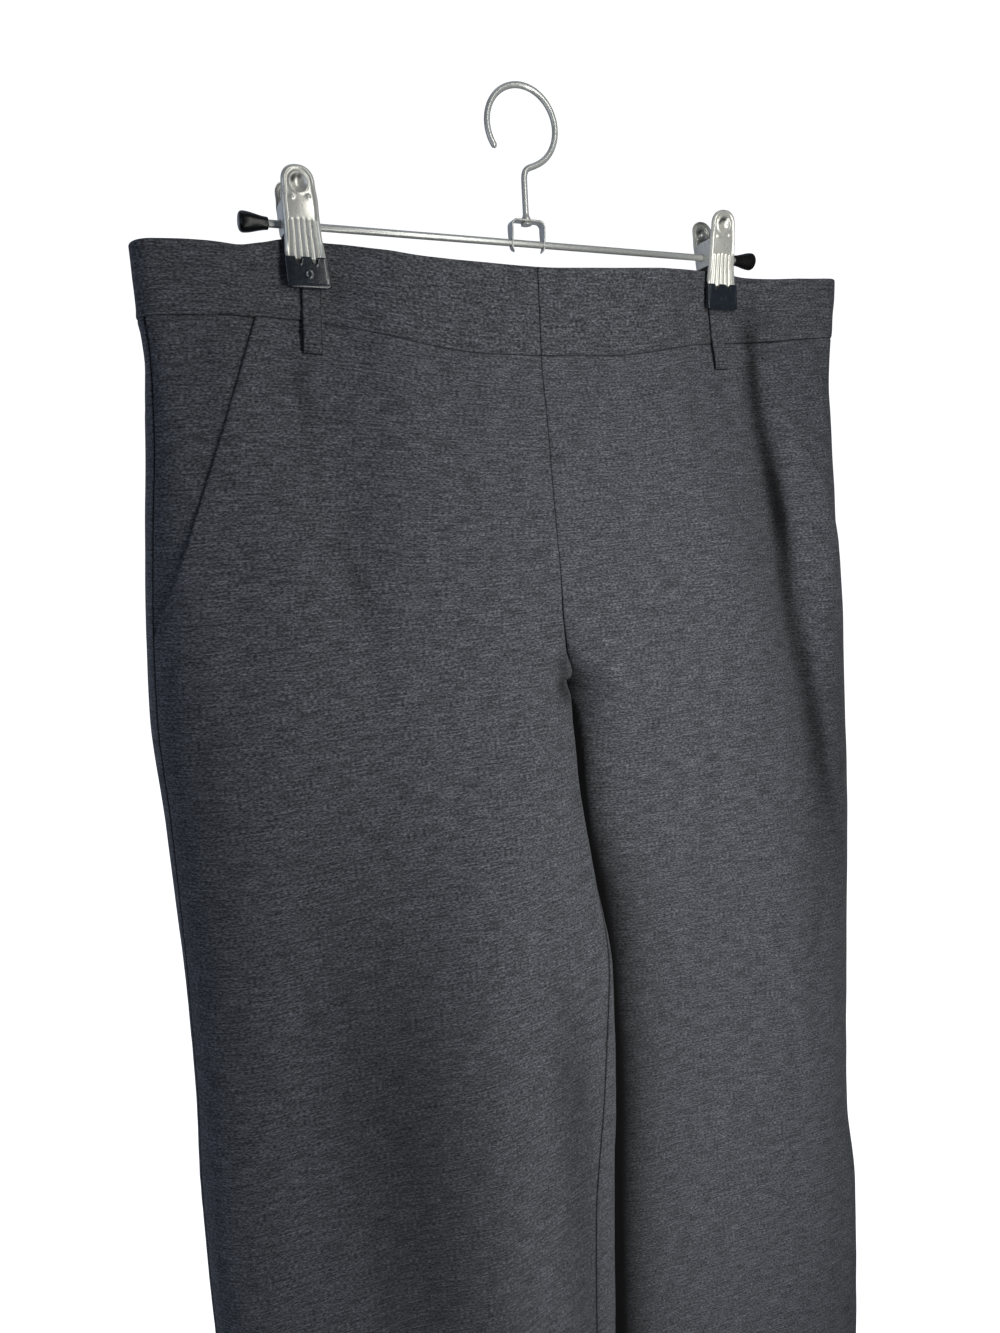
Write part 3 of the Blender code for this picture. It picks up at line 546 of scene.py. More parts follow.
# ---------------------------------------------------------------- cloth relief
def waves(seed, count, lengths_x, lengths_z):
    """Soft uneven swells: a fixed set of waves with the given ranges of wavelengths."""
    draw = np.random.default_rng(seed)
    wide = draw.uniform(*lengths_x, count)
    tall = draw.uniform(*lengths_z, count) * draw.choice((-1, 1), count)
    phase = draw.uniform(0, 2 * math.pi, count)
    height = draw.uniform(0.5, 1.0, count)

    def value(x, z):
        angle = 2 * math.pi * (np.multiply.outer(x, 1 / wide) + np.multiply.outer(z, 1 / tall)) + phase
        return (np.cos(angle) * height).sum(-1) / height.sum()

    return value


SWELL = waves(3, 22, (38, 120), (120, 420))
PUCKER = waves(8, 16, (9, 22), (9, 22))
RIPPLE = waves(14, 18, (14, 34), (40, 110))


def rolled(distance, radius, depth):
    """How far a sewn edge rolls down, at a distance from it."""
    return -depth * (1 - quarter(distance, radius))


def puckered(distance, reach, depth, x, z):
    """Small ripples beside a seam, fading away from it."""
    return depth * hill(distance, reach) * PUCKER(x, z) * 2.2


def with_edges(length, count, step=EDGE_STEP):
    """Distances from 0 to a length, close together at both ends and even in between."""
    near = step * EDGE_STEPS
    middle = np.linspace(near[-1], length - near[-1], count)[1:-1]
    return np.concatenate([near, middle, length - near[::-1]])


def panel_rows():
    """Heights of a panel's rows, from the waist seam to the hem, closer by the crotch and the hem's
    stitching."""
    rows = list(WAIST_SEAM - EDGE_STEP * EDGE_STEPS)
    foot = HEM + EDGE_STEP * EDGE_STEPS[::-1]
    height = rows[-1]
    while height > foot[0] + 3:
        step = 2.4 if -320 < height < -205 else 3.6
        if abs(height - (HEM + HEM_DEPTH)) < 6:
            step = 1.0
        height -= step
        rows.append(height)
    return rows[:-1] + list(foot)


def edge_shade(distance, amount, reach=1.3):
    """Painted shade: less light along a sewn edge."""
    return 1 - amount * (1 - smooth_step(distance / reach))


def let_in(side, height, points):
    """Share of light that reaches points of the surface, painted into the cloth's colour as shade: less in
    fold hollows, in broad shaded patches and between the legs.
    """
    x = points[:, 0]
    front, back = (fold_rise(PAINTED_SHADES[face], x, height) for face in ("front", "back"))
    reached = np.clip(1 - np.where(points[:, 1] < 0, front, back), LEAST_LIGHT, 1.0)
    if side == LEFT and height < CROTCH:
        past = np.maximum(x - read("inseam", side, height) - read("between", "dark", height), 0.0)
        past /= read("between", "spread", height)
        reached *= 1 - BETWEEN_SHADE * smooth_step((CROTCH - height) / 10) * np.exp(-past)
    return reached


def sewn(node, kind, side, rows, positions_of, lift_of, thickness_of, edge_shades_of, seam_gap, finish):
    """A cloth piece with one row of points per height. What sits beside the waist seam keeps clear of
    it by the seam gap, upwards or downwards."""
    outer = []
    inner = []
    uvs = []
    lights = []
    sign = 1 if side == LEFT else -1
    for height in rows:
        positions = positions_of(height)
        points = place(side, height, positions)
        normals = outward(side, height, positions)
        if height == WAIST_SEAM:
            points[:, 2] += seam_gap
        lift, under = lift_of(height, positions, points)
        outer.append(points + normals * lift[:, None])
        inner.append(points + normals * (lift - thickness_of(height) + under)[:, None])
        uvs.append(np.stack([positions * sign, np.full(len(positions), height)], axis=1) + CUT_FROM[kind])
        # Painted shade: the share of light let in, less in hollows, between the legs and along sewn edges,
        # darkens the cloth's colour
        light = let_in(side, height, points)
        for end, amount in zip((0, -1), edge_shades_of(height)):
            light *= edge_shade(np.abs(positions - positions[end]), amount)
        lights.append(light)
    piece = shell("cloth_" + node, outer, inner, finish, uvs, lights)
    dress(piece, node)
    return piece


def panel_thickness(height):
    """Turned up and pressed at the hem, two layers."""
    doubled = smooth_step((HEM + HEM_DEPTH + 1 - height) / 2)
    return CLOTH + (HEM_T - CLOTH) * float(doubled)


def body_swell(side, height, points):
    """Unevenness of hanging cloth, less near the waist."""
    strength = float(smooth_step((WAIST_SEAM - height) / 120))
    low = float(smooth_step((-240 - height) / 300))
    x, z = points[:, 0], points[:, 2]
    back = 40.0 * (points[:, 1] > 0)
    return strength * (0.8 * SWELL(x + back, z) + (0.3 + 0.35 * low) * RIPPLE(x + back, z))


def panel(face, side, finish):
    """Front or back, waist seam to hem, from the side seam to the centre seam or inseam. The front's
    upper corner is cut away along the pocket mouth."""
    front = face == "front"
    onward = -1 if front else 1

    def positions_of(height):
        ends, _ = half_section(side, height)
        start = -read("section", "wrap", height) + onward * GAP / 2
        if front and height > MOUTH_FOOT:
            start = mouth_along(side, height)
        end = ends[0 if front else -1]
        if height <= CROTCH:
            end -= onward * GAP / 2
        if side == RIGHT:
            end += read("inseam", "turn", height)
        return start + onward * with_edges(abs(end - start), PANEL_COUNT)

    def lift_of(height, positions, points):
        x, z = points[:, 0], points[:, 2]
        from_start = np.abs(positions - positions[0])
        from_end = np.abs(positions - positions[-1])
        mouth = float(smooth_step((height - MOUTH_FOOT + 8) / 16)) if front else 0.0
        hem_roll = rolled(height - HEM, *HEM_ROLL)
        lift = rolled(from_start, 1.0 + 1.2 * mouth, 0.45 + 0.45 * mouth)
        lift += rolled(from_end, 0.8, 0.28) if front else rolled(from_end, 0.9, 0.45)
        lift += rolled(WAIST_SEAM - height, *SEAM_ROLL) + hem_roll
        lift += puckered(WAIST_SEAM - height, 12, 0.30 if front else 0.32, x, z)
        lift += puckered(from_end, 8, 0.10 if front else 0.20, x, z)
        lift += puckered(from_start, 7, 0.12, x, z)
        lift += 0.18 * hill(height - HEM - HEM_DEPTH, 2.2) * (1 + PUCKER(2 * x, z))
        lift += body_swell(side, height, points) * smooth_step(np.minimum(from_start, from_end) / 14)
        return lift, -hem_roll

    # Painted shade along the mouth or side seam, and along the centre seam or inseam
    def edge_shades_of(height):
        centre = 0.12 if front else 0.45
        return 0.35 if front and height > MOUTH_FOOT else 0.75, centre if height > CROTCH else 0.80

    piece = sewn(face + "_" + side, face, side, panel_rows(), positions_of, lift_of, panel_thickness,
                 edge_shades_of, -GAP / 2, finish)


def pocket_bearer(side, finish):
    """Level with the panels at the side seam, and behind the front panel from the mouth on."""
    below = CLOTH + 1.2 * GAP
    hidden = 22.0

    def positions_of(height):
        seam = -read("section", "wrap", height) - GAP / 2
        mouth = mouth_along(side, height) if height > MOUTH_FOOT + 0.5 else seam - 1.5
        shown = with_edges(seam - mouth, 22, 0.2 if seam - mouth < 12 else EDGE_STEP)
        return np.concatenate([seam - shown, mouth - np.linspace(0, hidden, 6)[1:]])

    def lift_of(height, positions, points):
        x, z = points[:, 0], points[:, 2]
        from_seam = positions[0] - positions
        mouth = from_seam[-6]
        lift = -below * smooth_step(from_seam / max(mouth, 1.5))
        lift -= GAP * smooth_step((MOUTH_FOOT + 3 - height) / 3)
        lift += rolled(from_seam, *SIDE_ROLL)
        lift += rolled(WAIST_SEAM - height, *SEAM_ROLL)
        inside = smooth_step(from_seam / 10) * smooth_step((mouth - from_seam) / 10)
        lift += inside * (0.5 * RIPPLE(x, z) + 0.6 * puckered(WAIST_SEAM - height, 14, 0.3, x, z))
        return lift, 0.0

    rows = WAIST_SEAM - with_edges(WAIST_SEAM - MOUTH_FOOT, 60)
    piece = sewn("pocket_bearer_" + side, "pocket", side, rows, positions_of, lift_of,
                 lambda height: CLOTH, lambda height: (0.75, 0.0), -GAP / 2, finish)


def waistband(side, finish):
    """Half of the straight band, folded over at its top and pressed flat under the clip."""

    def positions_of(height):
        lengths, _ = half_section(side, height)
        return lengths[0] + with_edges(lengths[-1] - lengths[0], BAND_COUNT, 0.4)

    def lift_of(height, positions, points):
        x, z = points[:, 0], points[:, 2]
        ends = np.minimum(positions - positions[0], positions[-1] - positions)
        from_foot = height - WAIST_SEAM
        folded = rolled(WAIST_TOP - height, BAND / 2, BAND / 2)
        lift = BAND_PROUD + folded + rolled(ends, 0.9, 0.4)
        lift += rolled(from_foot, 1.6, 0.9)
        clear = off_clips(x, 12)
        lift += puckered(from_foot, 9, 0.26, x, z) * clear
        lift += 0.35 * RIPPLE(x, 3 * z) * smooth_step(ends / 10) * clear
        return lift, -folded

    rows = WAIST_TOP - with_edges(WAIST_TOP - WAIST_SEAM, 12, 0.3)
    piece = sewn("waistband_" + side, "band", side, rows, positions_of, lift_of,
                 lambda height: BAND, lambda height: (0.3, 0.3), GAP / 2, finish)


def belt_loop(node, face, top_x, foot_x, finish):
    """A folded strip sewn at the top of the band and below the waist seam, standing off in between."""
    top = WAIST_TOP - 1
    length = top - (WAIST_SEAM - LOOP_TAIL)
    fold = LOOP_T / 2
    across = ease_ends(20) - 0.5
    from_edge = (0.5 - np.abs(across)) * LOOP_WIDTH
    crown = 0.16 * (1 - (2 * across) ** 2)
    outer = []
    inner = []
    uvs = []
    lights = []
    for t in ease_ends(64):
        height = top - length * t
        points = []
        normals = []
        for x in top_x + (foot_x - top_x) * t + across * LOOP_WIDTH:
            side = RIGHT if x < 0 else LEFT
            along = along_at_x(side, height, np.array([x]), face)
            points.append(place(side, height, along)[0])
            normals.append(outward(side, height, along)[0])
        clear = BAND_PROUD + GAP + 0.9 * smooth_step((t - 0.55) / 0.25) * smooth_step((1 - t) / 0.1)
        clear -= 0.35 * smooth_step((t - 0.96) / 0.04)
        round_off = rolled(from_edge, fold, fold) + rolled(min(t, 1 - t) * length, fold, fold)
        round_off = np.maximum(round_off, -fold)
        outer.append(points + normals * (clear + LOOP_T + crown + round_off)[:, None])
        inner.append(points + normals * (clear - round_off)[:, None])
        uvs.append(np.stack([across * LOOP_WIDTH, np.full(len(across), height)], axis=1) + CUT_FROM["loop"])
        # Painted shade along the loop's edges and its foot
        lights.append(edge_shade(np.minimum(from_edge, (1 - t) * length), 0.85, 0.9))
    piece = shell("cloth_" + node, outer, inner, finish, uvs, lights)
    dress(piece, node)
    side = RIGHT if top_x < 0 else LEFT


# ---------------------------------------------------------------- hanger
def ring_faces(count, sides, capped=True):
    """Faces from each ring of points to the next, and a cap on each end."""
    faces = []
    for low in range(0, (count - 1) * sides, sides):
        for k in range(sides):
            n = (k + 1) % sides
            faces.append((low + k, low + n, low + sides + n, low + sides + k))
    if capped:
        faces.append(tuple(range(sides))[::-1])
        faces.append(tuple(range((count - 1) * sides, count * sides)))
    return faces


def tube(name, line, radii, sides, finish, sharp=None):
    """Capped wire along a line of points."""
    line = np.asarray(line, float)
    tangents = directions_along(line)
    across = np.cross(tangents[0], (0.0, 1.0, 0.0) if abs(tangents[0][1]) < 0.9 else (1.0, 0.0, 0.0))
    angle = 2 * math.pi * np.arange(sides)[:, None] / sides
    rings = []
    for point, tangent, radius in zip(line, tangents, radii):
        across = across - tangent * np.dot(across, tangent)
        across /= np.linalg.norm(across)
        other = np.cross(tangent, across)
        rings.append(point + radius * (np.cos(angle) * across + np.sin(angle) * other))
    return solid(name, np.concatenate(rings), ring_faces(len(rings), sides), finish, sharp)


def turned(name, profile, finish, center_x=0.0, flip=1, sides=48):
    """Piece turned about the bar's axis, from distance along it and radius."""
    angles = 2 * math.pi * np.arange(sides) / sides
    points = []
    for along, radius in profile:
        radius = max(radius, 0.01)
        points += [(center_x + flip * along, radius * math.cos(a), radius * math.sin(a)) for a in angles]
    return solid(name, points, ring_faces(len(profile), sides), finish, 40)


def rounded(points_in, radius, steps=5):
    """Outline of (along, across) corners, each rounded with the given radius."""
    done = [points_in[0]]
    for a, b, c in zip(points_in, points_in[1:], points_in[2:]):
        a, b, c = (np.array(p, float) for p in (a, b, c))
        back = min(radius, 0.45 * np.linalg.norm(b - a))
        on = min(radius, 0.45 * np.linalg.norm(c - b))
        start = b + (a - b) / np.linalg.norm(a - b) * back
        end = b + (c - b) / np.linalg.norm(c - b) * on
        for t in np.linspace(0, 1, steps + 1):
            done.append(tuple((1 - t) ** 2 * start + 2 * t * (1 - t) * b + t * t * end))
    return done + [points_in[-1]]


def drilled(piece, center, radius, length, axis="x"):
    """Cuts a round hole through a piece and applies it."""
    form = bmesh.new()
    bmesh.ops.create_cone(form, cap_ends=True, segments=40, radius1=radius * MM, radius2=radius * MM,
                          depth=length * MM)
    turn = Matrix.Rotation(math.pi / 2, 4, "Y") if axis == "x" else Matrix.Identity(4)
    center = Vector((center[0], center[1], center[2] + BAR_Z)) * MM
    bmesh.ops.transform(form, matrix=Matrix.Translation(center) @ turn, verts=form.verts)
    cutter_mesh = bpy.data.meshes.new("cutter")
    form.to_mesh(cutter_mesh)
    form.free()
    cutter = bpy.data.objects.new("cutter", cutter_mesh)
    bpy.context.scene.collection.objects.link(cutter)
    modifier = piece.modifiers.new("hole", "BOOLEAN")
    modifier.operation = "DIFFERENCE"
    modifier.solver = "EXACT"
    modifier.object = cutter
    seen = piece.evaluated_get(bpy.context.evaluated_depsgraph_get())
    cut_mesh = bpy.data.meshes.new_from_object(seen)
    piece.modifiers.clear()
    piece.data = cut_mesh
    bpy.data.objects.remove(cutter)
    cut_mesh.shade_smooth()
    cut_mesh.set_sharp_from_angle(angle=math.radians(40))


def hanger_bar(finish):
    half = (BAR_HIGH[0] - BAR_LOW[0]) / 2
    profile = rounded([(-half, 0.0), (-half, BAR_R), (half, BAR_R), (half, 0.0)], 0.4)
    dress(turned("wire_bar", profile, finish), "hanger_bar")


def hanger_cap(side, flip, finish):
    """Flared moulded cap with a soft outer end and a blind bore."""
    bore = BAR_R + GAP
    profile = [(CAP_BORE_DEPTH, 0.0), (CAP_BORE_DEPTH, bore), (0.0, bore)]
    rim = rounded([(0.0, bore), (0.0, 3.05), (0.9, 3.05)], 0.35)[1:-1]
    flare = []
    for t in np.linspace(0.04, 1, 22):
        swell = 3.0 + 2.05 * smooth_step(0.15 + 0.85 * t) ** 1.15
        flare.append((0.9 + (CAP_LENGTH - 3.0) * t, float(swell)))
    end = []
    for angle in np.linspace(0, math.pi / 2, 10)[1:]:
        end.append((CAP_LENGTH - 2.1 + 2.1 * math.sin(angle), 5.05 - 2.2 + 2.2 * math.cos(angle)))
    profile += rim + flare + end + [(CAP_LENGTH, 0.0)]
    cap = turned("end_cap_" + side, profile, finish, flip * (BAR_HALF - CAP_LENGTH), flip)
    dress(cap, "hanger_cap_" + side)


def hanger_yoke(finish):
    """Inverted U of flat strip with softened edges, whose legs narrow to their feet."""
    corner = 3.5
    line = [(-YOKE_HALF + 1.6, YOKE_FOOT), (-YOKE_HALF, YOKE_FOOT + 2.4), (-YOKE_HALF, YOKE_TOP - corner)]
    line = rounded(line, 1.6, 8)[:-1]
    line += [(-YOKE_HALF, z) for z in np.linspace(YOKE_FOOT + 4.2, YOKE_TOP - corner - 0.6, 12)]
    for angle in np.linspace(math.pi, math.pi / 2, 14):
        line.append((corner * (1 + math.cos(angle)) - YOKE_HALF, YOKE_TOP - corner * (1 - math.sin(angle))))
    line += [(x, YOKE_TOP) for x in np.linspace(-YOKE_HALF + corner + 0.7, -0.4, 6)]
    line += [(-x, z) for x, z in reversed(line)]
    lengths = lengths_along(line)
    outer = []
    inner = []
    for (x, z), (tx, tz), along in zip(line, directions_along(line), lengths):
        from_end = min(along, lengths[-1] - along)
        half = YOKE_DEPTH / 2 * (0.58 + 0.42 * float(smooth_step((z - YOKE_FOOT - 1.0) / 11.0)))
        half *= quarter(from_end + 0.15, half + 0.15)
        outer_row = []
        inner_row = []
        for fraction in ease_ends(16):
            y = (2 * fraction - 1) * half
            soft = rolled(half - abs(y), 0.45, 0.42) + rolled(from_end, 0.45, 0.42)
            soft = max(float(soft), -0.46)
            outer_row.append((x - tz * soft, y, z + tx * soft))
            inner_row.append((x + tz * (STRIP + soft), y, z - tx * (STRIP + soft)))
        outer.append(outer_row)
        inner.append(inner_row)
    yoke = shell("wire_yoke", outer, inner, finish)
    drilled(yoke, (0, 0, 0), BAR_R + GAP, 4 * YOKE_HALF)
    drilled(yoke, (0, 0, YOKE_TOP), WIRE_R + GAP, 4.0, "z")
    dress(yoke, "hanger_yoke")


def hook_line():
    """Centre line of the hook: headed stem up, out to the right, and round the ring to its open end."""
    join = math.radians(-58)
    points = [(0.0, z) for z in np.linspace(YOKE_TOP - 2.6, STEM_BEND, 26)]
    start = np.array([0.0, STEM_BEND])
    end = np.array([RING_R * math.cos(join), RING_HEIGHT + RING_R * math.sin(join)])
    reach = 9.0
    start_pull = start + np.array([0.0, reach])
    end_pull = end - reach * np.array([-math.sin(join), math.cos(join)])
    for t in np.linspace(0, 1, 22)[1:]:
        point = ((1 - t) ** 3 * start + 3 * (1 - t) ** 2 * t * start_pull
                 + 3 * (1 - t) * t * t * end_pull + t ** 3 * end)
        points.append(tuple(point))
    for angle in np.linspace(join, math.radians(218), 90)[1:]:
        points.append((RING_R * math.cos(angle), RING_HEIGHT + RING_R * math.sin(angle)))
    return points


def hanger_hook(finish):
    """Wire hook with an upset collar where it stands on the yoke and a rounded open end."""
    line = hook_line()
    lengths = lengths_along(line)
    radii = []
    for (x, z), along in zip(line, lengths):
        collar = hill(z - YOKE_TOP - 0.5, 1.5) * (z > YOKE_TOP)
        head = 1.4 if z < YOKE_TOP - STRIP - 0.1 and abs(x) < 1 else 0.0
        tip = quarter(lengths[-1] - along + 0.1, WIRE_R)
        radii.append((WIRE_R + max(collar, head)) * tip)
    hook = tube("wire_hook", [(x, 0.0, z) for x, z in line], radii, 28, finish, 60)
    dress(hook, "hanger_hook")


def head_half(height, half):
    """Half width of the rounded head at a height."""
    t = max(height - HEAD_START, 0.0) / HEAD_RISE
    return half * (1 - min(t, 1.0) ** HEAD_SQUARE[0]) ** (1 / HEAD_SQUARE[1])


def jaw_edge_distance(x, height, half):
    """Distance in from the jaw's outline."""
    if height <= HEAD_START:
        return half - np.abs(x)
    inside = ((height - HEAD_START) / HEAD_RISE) ** HEAD_SQUARE[0] + (np.abs(x) / half) ** HEAD_SQUARE[1]
    return (1 - inside ** (2 / sum(HEAD_SQUARE))) * (half + HEAD_RISE) / 2


def jaw_relief(x, height, half):
    """How far the pressed face stands out: rim, thumb rest, bosses, plain pillow and flutes."""
    edge = np.maximum(jaw_edge_distance(x, height, half), 0.0)
    relief = 0.32 * hill(edge - 1.5, 0.55) - 0.35 * smooth_step((edge - 1.7) / 0.9)
    from_thumb = np.hypot(x, height - THUMB_HEIGHT)
    relief += 0.5 * hill(from_thumb - 4.7, 0.6)
    relief -= 1.9 * np.clip(1 - (from_thumb / THUMB_R) ** 2, 0, 1) ** 1.3
    for boss_x, boss_height in ((-4.2, 10.4), (4.3, 11.2)):
        relief += 0.8 * hill(np.hypot(x - boss_x, height - boss_height), 1.0)
    pillow = np.clip(1 - ((height - 5.8) / 4.6) ** 2, 0, 1) * np.clip(1 - (x / (half - 1.5)) ** 2, 0, 1)
    relief += 0.55 * pillow
    top = 1.6 - 0.10 * np.abs(x)
    strength = smooth_step((top - height) / 1.6) * smooth_step((height - TIP_TOP + 3) / 4)
    ridge = 1 - 2 * np.abs(np.sin(math.pi * x / (2 * half / 6.6))) ** 1.4
    relief += 0.40 * strength * ridge * smooth_step((edge - 1.0) / 1.0)
    return relief


def ear_depth(height, lip):
    """How far a side lip reaches back, much further where it is an ear round the bar."""
    if not EAR_FOOT < height < EAR_TOP:
        return lip
    full = 12.6 + 1.4 * float(smooth_step((height - EAR_FOOT) / 9.0))
    return full + rolled(min(height - EAR_FOOT, EAR_TOP - height), EAR_CORNER, EAR_CORNER)


def shade_jaw(mesh, clip_x, sway):
    """Painted reflection: a dark crescent at the top of the thumb rest, where the hollow mirrors the dark
    side of a room;
    and painted shade on the metal inside the notches of the dipped tip."""
    points = np.zeros(3 * len(mesh.vertices))
    mesh.vertices.foreach_get("co", points)
    x, _, height = (points.reshape(-1, 3) / MM - (0, 0, BAR_Z)).T
    x = x - (clip_x - sway * height)
    from_thumb = np.hypot(x, height - THUMB_HEIGHT)
    upward = np.cos(np.arctan2(x, height - THUMB_HEIGHT) + 0.45)
    # Painted reflection: dark crescent at the top of the thumb rest
    dark = 0.88 * hill(from_thumb - 3.1, 1.25) * smooth_step((upward - 0.30) / 0.50)
    # Painted shade on the metal below the tip's top edge, seen through its notches
    dark = np.maximum(dark, 0.95 * smooth_step((TIP_TOP - 0.5 - height) / 0.7))
    mesh.attributes.new("let_in", "FLOAT", "POINT").data.foreach_set("value", 1 - dark)


def clip_jaw(side, clip_x, sway, back, finish):
    """Pressed and plated sheet jaw with lips turned back along its edges."""
    direction = 1 if back else -1
    heights = list(np.linspace(TIP_FOOT + 1.6, TIP_TOP - 3.0, 6))[:-1]
    heights += list(np.arange(TIP_TOP - 3.0, EAR_FOOT - 0.3, 0.5))
    heights += [EAR_FOOT - 0.1, EAR_FOOT + 0.02, EAR_FOOT + 0.3, EAR_FOOT + 0.8]
    heights += list(np.arange(EAR_FOOT + 1.3, EAR_TOP - 1.0, 0.42))
    heights += [EAR_TOP - 0.8, EAR_TOP - 0.3, EAR_TOP - 0.02, EAR_TOP + 0.1]
    heights += list(np.arange(EAR_TOP + 0.5, HEAD_START - 0.2, 0.4))
    heights += [HEAD_START + HEAD_RISE * math.sin(math.radians(a)) for a in np.linspace(0, 87, 34)]
    lip_steps = np.linspace(0, 1, 7)[:-1]
    turning = np.linspace(0.9, math.pi / 2, 9)
    fractions = np.linspace(math.sin(-0.9), math.sin(0.9), 43)
    fractions = np.concatenate([np.sin(-turning[:0:-1]), fractions, np.sin(turning[1:])])
    outer = []
    inner = []
    for height in heights:
        narrow = BACK_JAW_NARROW if back and height >= EAR_FOOT else 0.0
        full = read("jaw", "half", min(height, HEAD_START)) - narrow
        half = head_half(height, full)
        lean = BACK_JAW_LEAN * max(height - TIP_TOP, 0.0) / (HEAD_TOP - TIP_TOP) if back else 0.0
        out = read("jaw", "out", height) - (BACK_JAW_IN if back else 0.0) + lean
        above_tip = float(smooth_step((height - TIP_TOP) / 3.0))
        bend = 0.5 + 0.8 * above_tip
        depth = ear_depth(height, bend + 0.15 + 0.25 * above_tip)
        rows = []
        for thick in (0.0, JAW_T):
            x = fractions * half
            edge = np.maximum(jaw_edge_distance(x, height, full), 0.0)
            crown = 0.4 * (1 - (x / max(full, 1.0)) ** 2)
            y = out - thick + crown + jaw_relief(x, height, full) + rolled(edge, bend, bend)
            x = x * (1 - thick / max(half, JAW_T + 0.2))
            end = y[0]
            lip_y = out - depth + (end - out + depth) * lip_steps
            left = [(x[0], value) for value in lip_y]
            right = [(x[-1], value) for value in lip_y[::-1]]
            row = left + list(zip(x, y)) + right
            rows.append([(clip_x - sway * height + px, direction * py, height) for px, py in row])
        outer.append(rows[0])
        inner.append(rows[1])
    name = "clip_" + side + ("_jaw_back" if back else "_jaw_front")
    jaw = shell("pressed_" + name, outer, inner, finish)
    drilled(jaw, (clip_x, 0, 0), BAR_R + GAP, 26.0)
    shade_jaw(jaw.data, clip_x, sway)
    dress(jaw, name)


def tip_outline(corner):
    """Points round a tip's section, anticlockwise: across, out from the cloth, and its outward normal."""
    flat = TIP_HALF - corner
    points = [(x, TIP_DEPTH, 0.0, 1.0) for x in np.linspace(flat, -flat, 60)]
    for cx, cy, start in ((-flat, TIP_DEPTH - corner, 90), (-flat, corner, 180), (flat, corner, 270),
                          (flat, TIP_DEPTH - corner, 0)):
        if start == 270:
            points += [(x, 0.0, 0.0, -1.0) for x in np.linspace(-flat, flat, 30)[1:-1]]
        for angle in np.radians(np.linspace(start, start + 90, 7)):
            nx, ny = math.cos(angle), math.sin(angle)
            points.append((cx + corner * nx, cy + corner * ny, nx, ny))
    return points[:-1]


def clip_tip(side, clip_x, sway, back, finish):
    """Dipped vinyl tip: scalloped top edge, round mark, and a bead along its foot."""
    direction = 1 if back else -1
    near = TIP_GRIP - (BACK_JAW_IN if back else 0.0)
    wall_t = 0.75
    outline = tip_outline(1.0)

    def top_at(x, ny):
        notch = 1 - ((abs(x) - 4.2) / 1.8) ** 2
        return TIP_TOP - (3.3 * math.sqrt(notch) if notch > 0 and ny > 0.9 else 0.0)

    def point(x, y, height):
        narrow = 1 - 0.022 * float(smooth_step((height - TIP_FOOT) / (TIP_TOP - TIP_FOOT)))
        narrow += rolled(height - TIP_FOOT, 1.6, 1.3) / TIP_HALF
        return (clip_x - sway * height + x * narrow, direction * (near + y), height)

    def shrunk(scale_x, scale_y, height_of):
        """The outline drawn in towards its middle."""
        middle_y = TIP_DEPTH / 2
        return [point(x * scale_x, middle_y + (y - middle_y) * scale_y, height_of(x, ny))
                for x, y, nx, ny in outline]

    def swell_at(x, ny, height):
        """Beads along the foot and under the top edge, and the face's mark and line down each side."""
        from_foot = height - TIP_FOOT
        swell = 0.30 * hill(from_foot - 1.1, 0.55) - 0.28 * hill(from_foot - 2.2, 0.42)
        swell += 0.10 * hill(height - top_at(x, ny) + 0.9, 0.5)
        if ny > 0.9:
            swell += 0.26 * hill(math.hypot(x, from_foot - 6.4) - 1.5, 0.33)
            swell += 0.25 * (1 - (x / TIP_HALF) ** 2)
            swell -= 0.22 * hill(abs(x) - 10.0, 0.4) * (1 - hill(from_foot, 4))
        return swell

    floor = TIP_FOOT + 1.2
    inside = (TIP_HALF - wall_t) / TIP_HALF
    thin = (TIP_DEPTH - 2 * wall_t) / TIP_DEPTH
    rings = [shrunk(inside * scale, thin * scale, lambda x, ny: floor) for scale in (0.05, 0.6, 1.0)]
    for t in (0.35, 0.7, 1.0):
        rings.append(shrunk(inside, thin, lambda x, ny: floor + (top_at(x, ny) - 0.35 - floor) * t))
    for inward, drop in ((0.62, 0.10), (0.38, 0.0), (0.14, 0.10), (0.0, 0.35)):
        rings.append([point(x - nx * inward, y - ny * inward, top_at(x, ny) - drop)
                      for x, y, nx, ny in outline])
    for t in np.linspace(0.03, 1, 44):
        ring = []
        for x, y, nx, ny in outline:
            start = top_at(x, ny) - 0.35
            height = start + (TIP_FOOT + 0.55 - start) * t
            swell = swell_at(x, ny, height)
            ring.append(point(x + nx * swell, y + ny * swell, height))
        rings.append(ring)
    for scale, drop in ((0.985, 0.28), (0.93, 0.08), (0.80, 0.0), (0.4, 0.0), (0.04, 0.0)):
        rings.append(shrunk(scale, scale, lambda x, ny: TIP_FOOT + drop))
    name = "clip_" + side + ("_tip_back" if back else "_tip_front")
    points = [p for ring in rings for p in ring]
    tip = solid("dipped_" + name, points, ring_faces(len(rings), len(outline)), finish)
    dress(tip, name)


def clip_spring(side, clip_x, finish):
    """Coil of wire round the bar with its two arms up between the jaws."""
    wire = 0.5
    turns = 9.75
    radius = SPRING_R - wire
    half = SPRING_HALF - wire
    line = [(-half, -radius, reach) for reach in np.linspace(8.5, 0.6, 8)]
    for t in np.linspace(0, 1, 260):
        angle = math.pi + 2 * math.pi * turns * t
        line.append((2 * half * t - half, radius * math.cos(angle), radius * math.sin(angle)))
    x, y, z = line[-1]
    line += [(x, y + 0.3 * reach, z + reach) for reach in np.linspace(0.8, 8.0, 8)]
    coil = tube("coil_" + side, [(clip_x + x, y, z) for x, y, z in line], [wire] * len(line), 10, finish)
    dress(coil, "clip_" + side + "_spring")


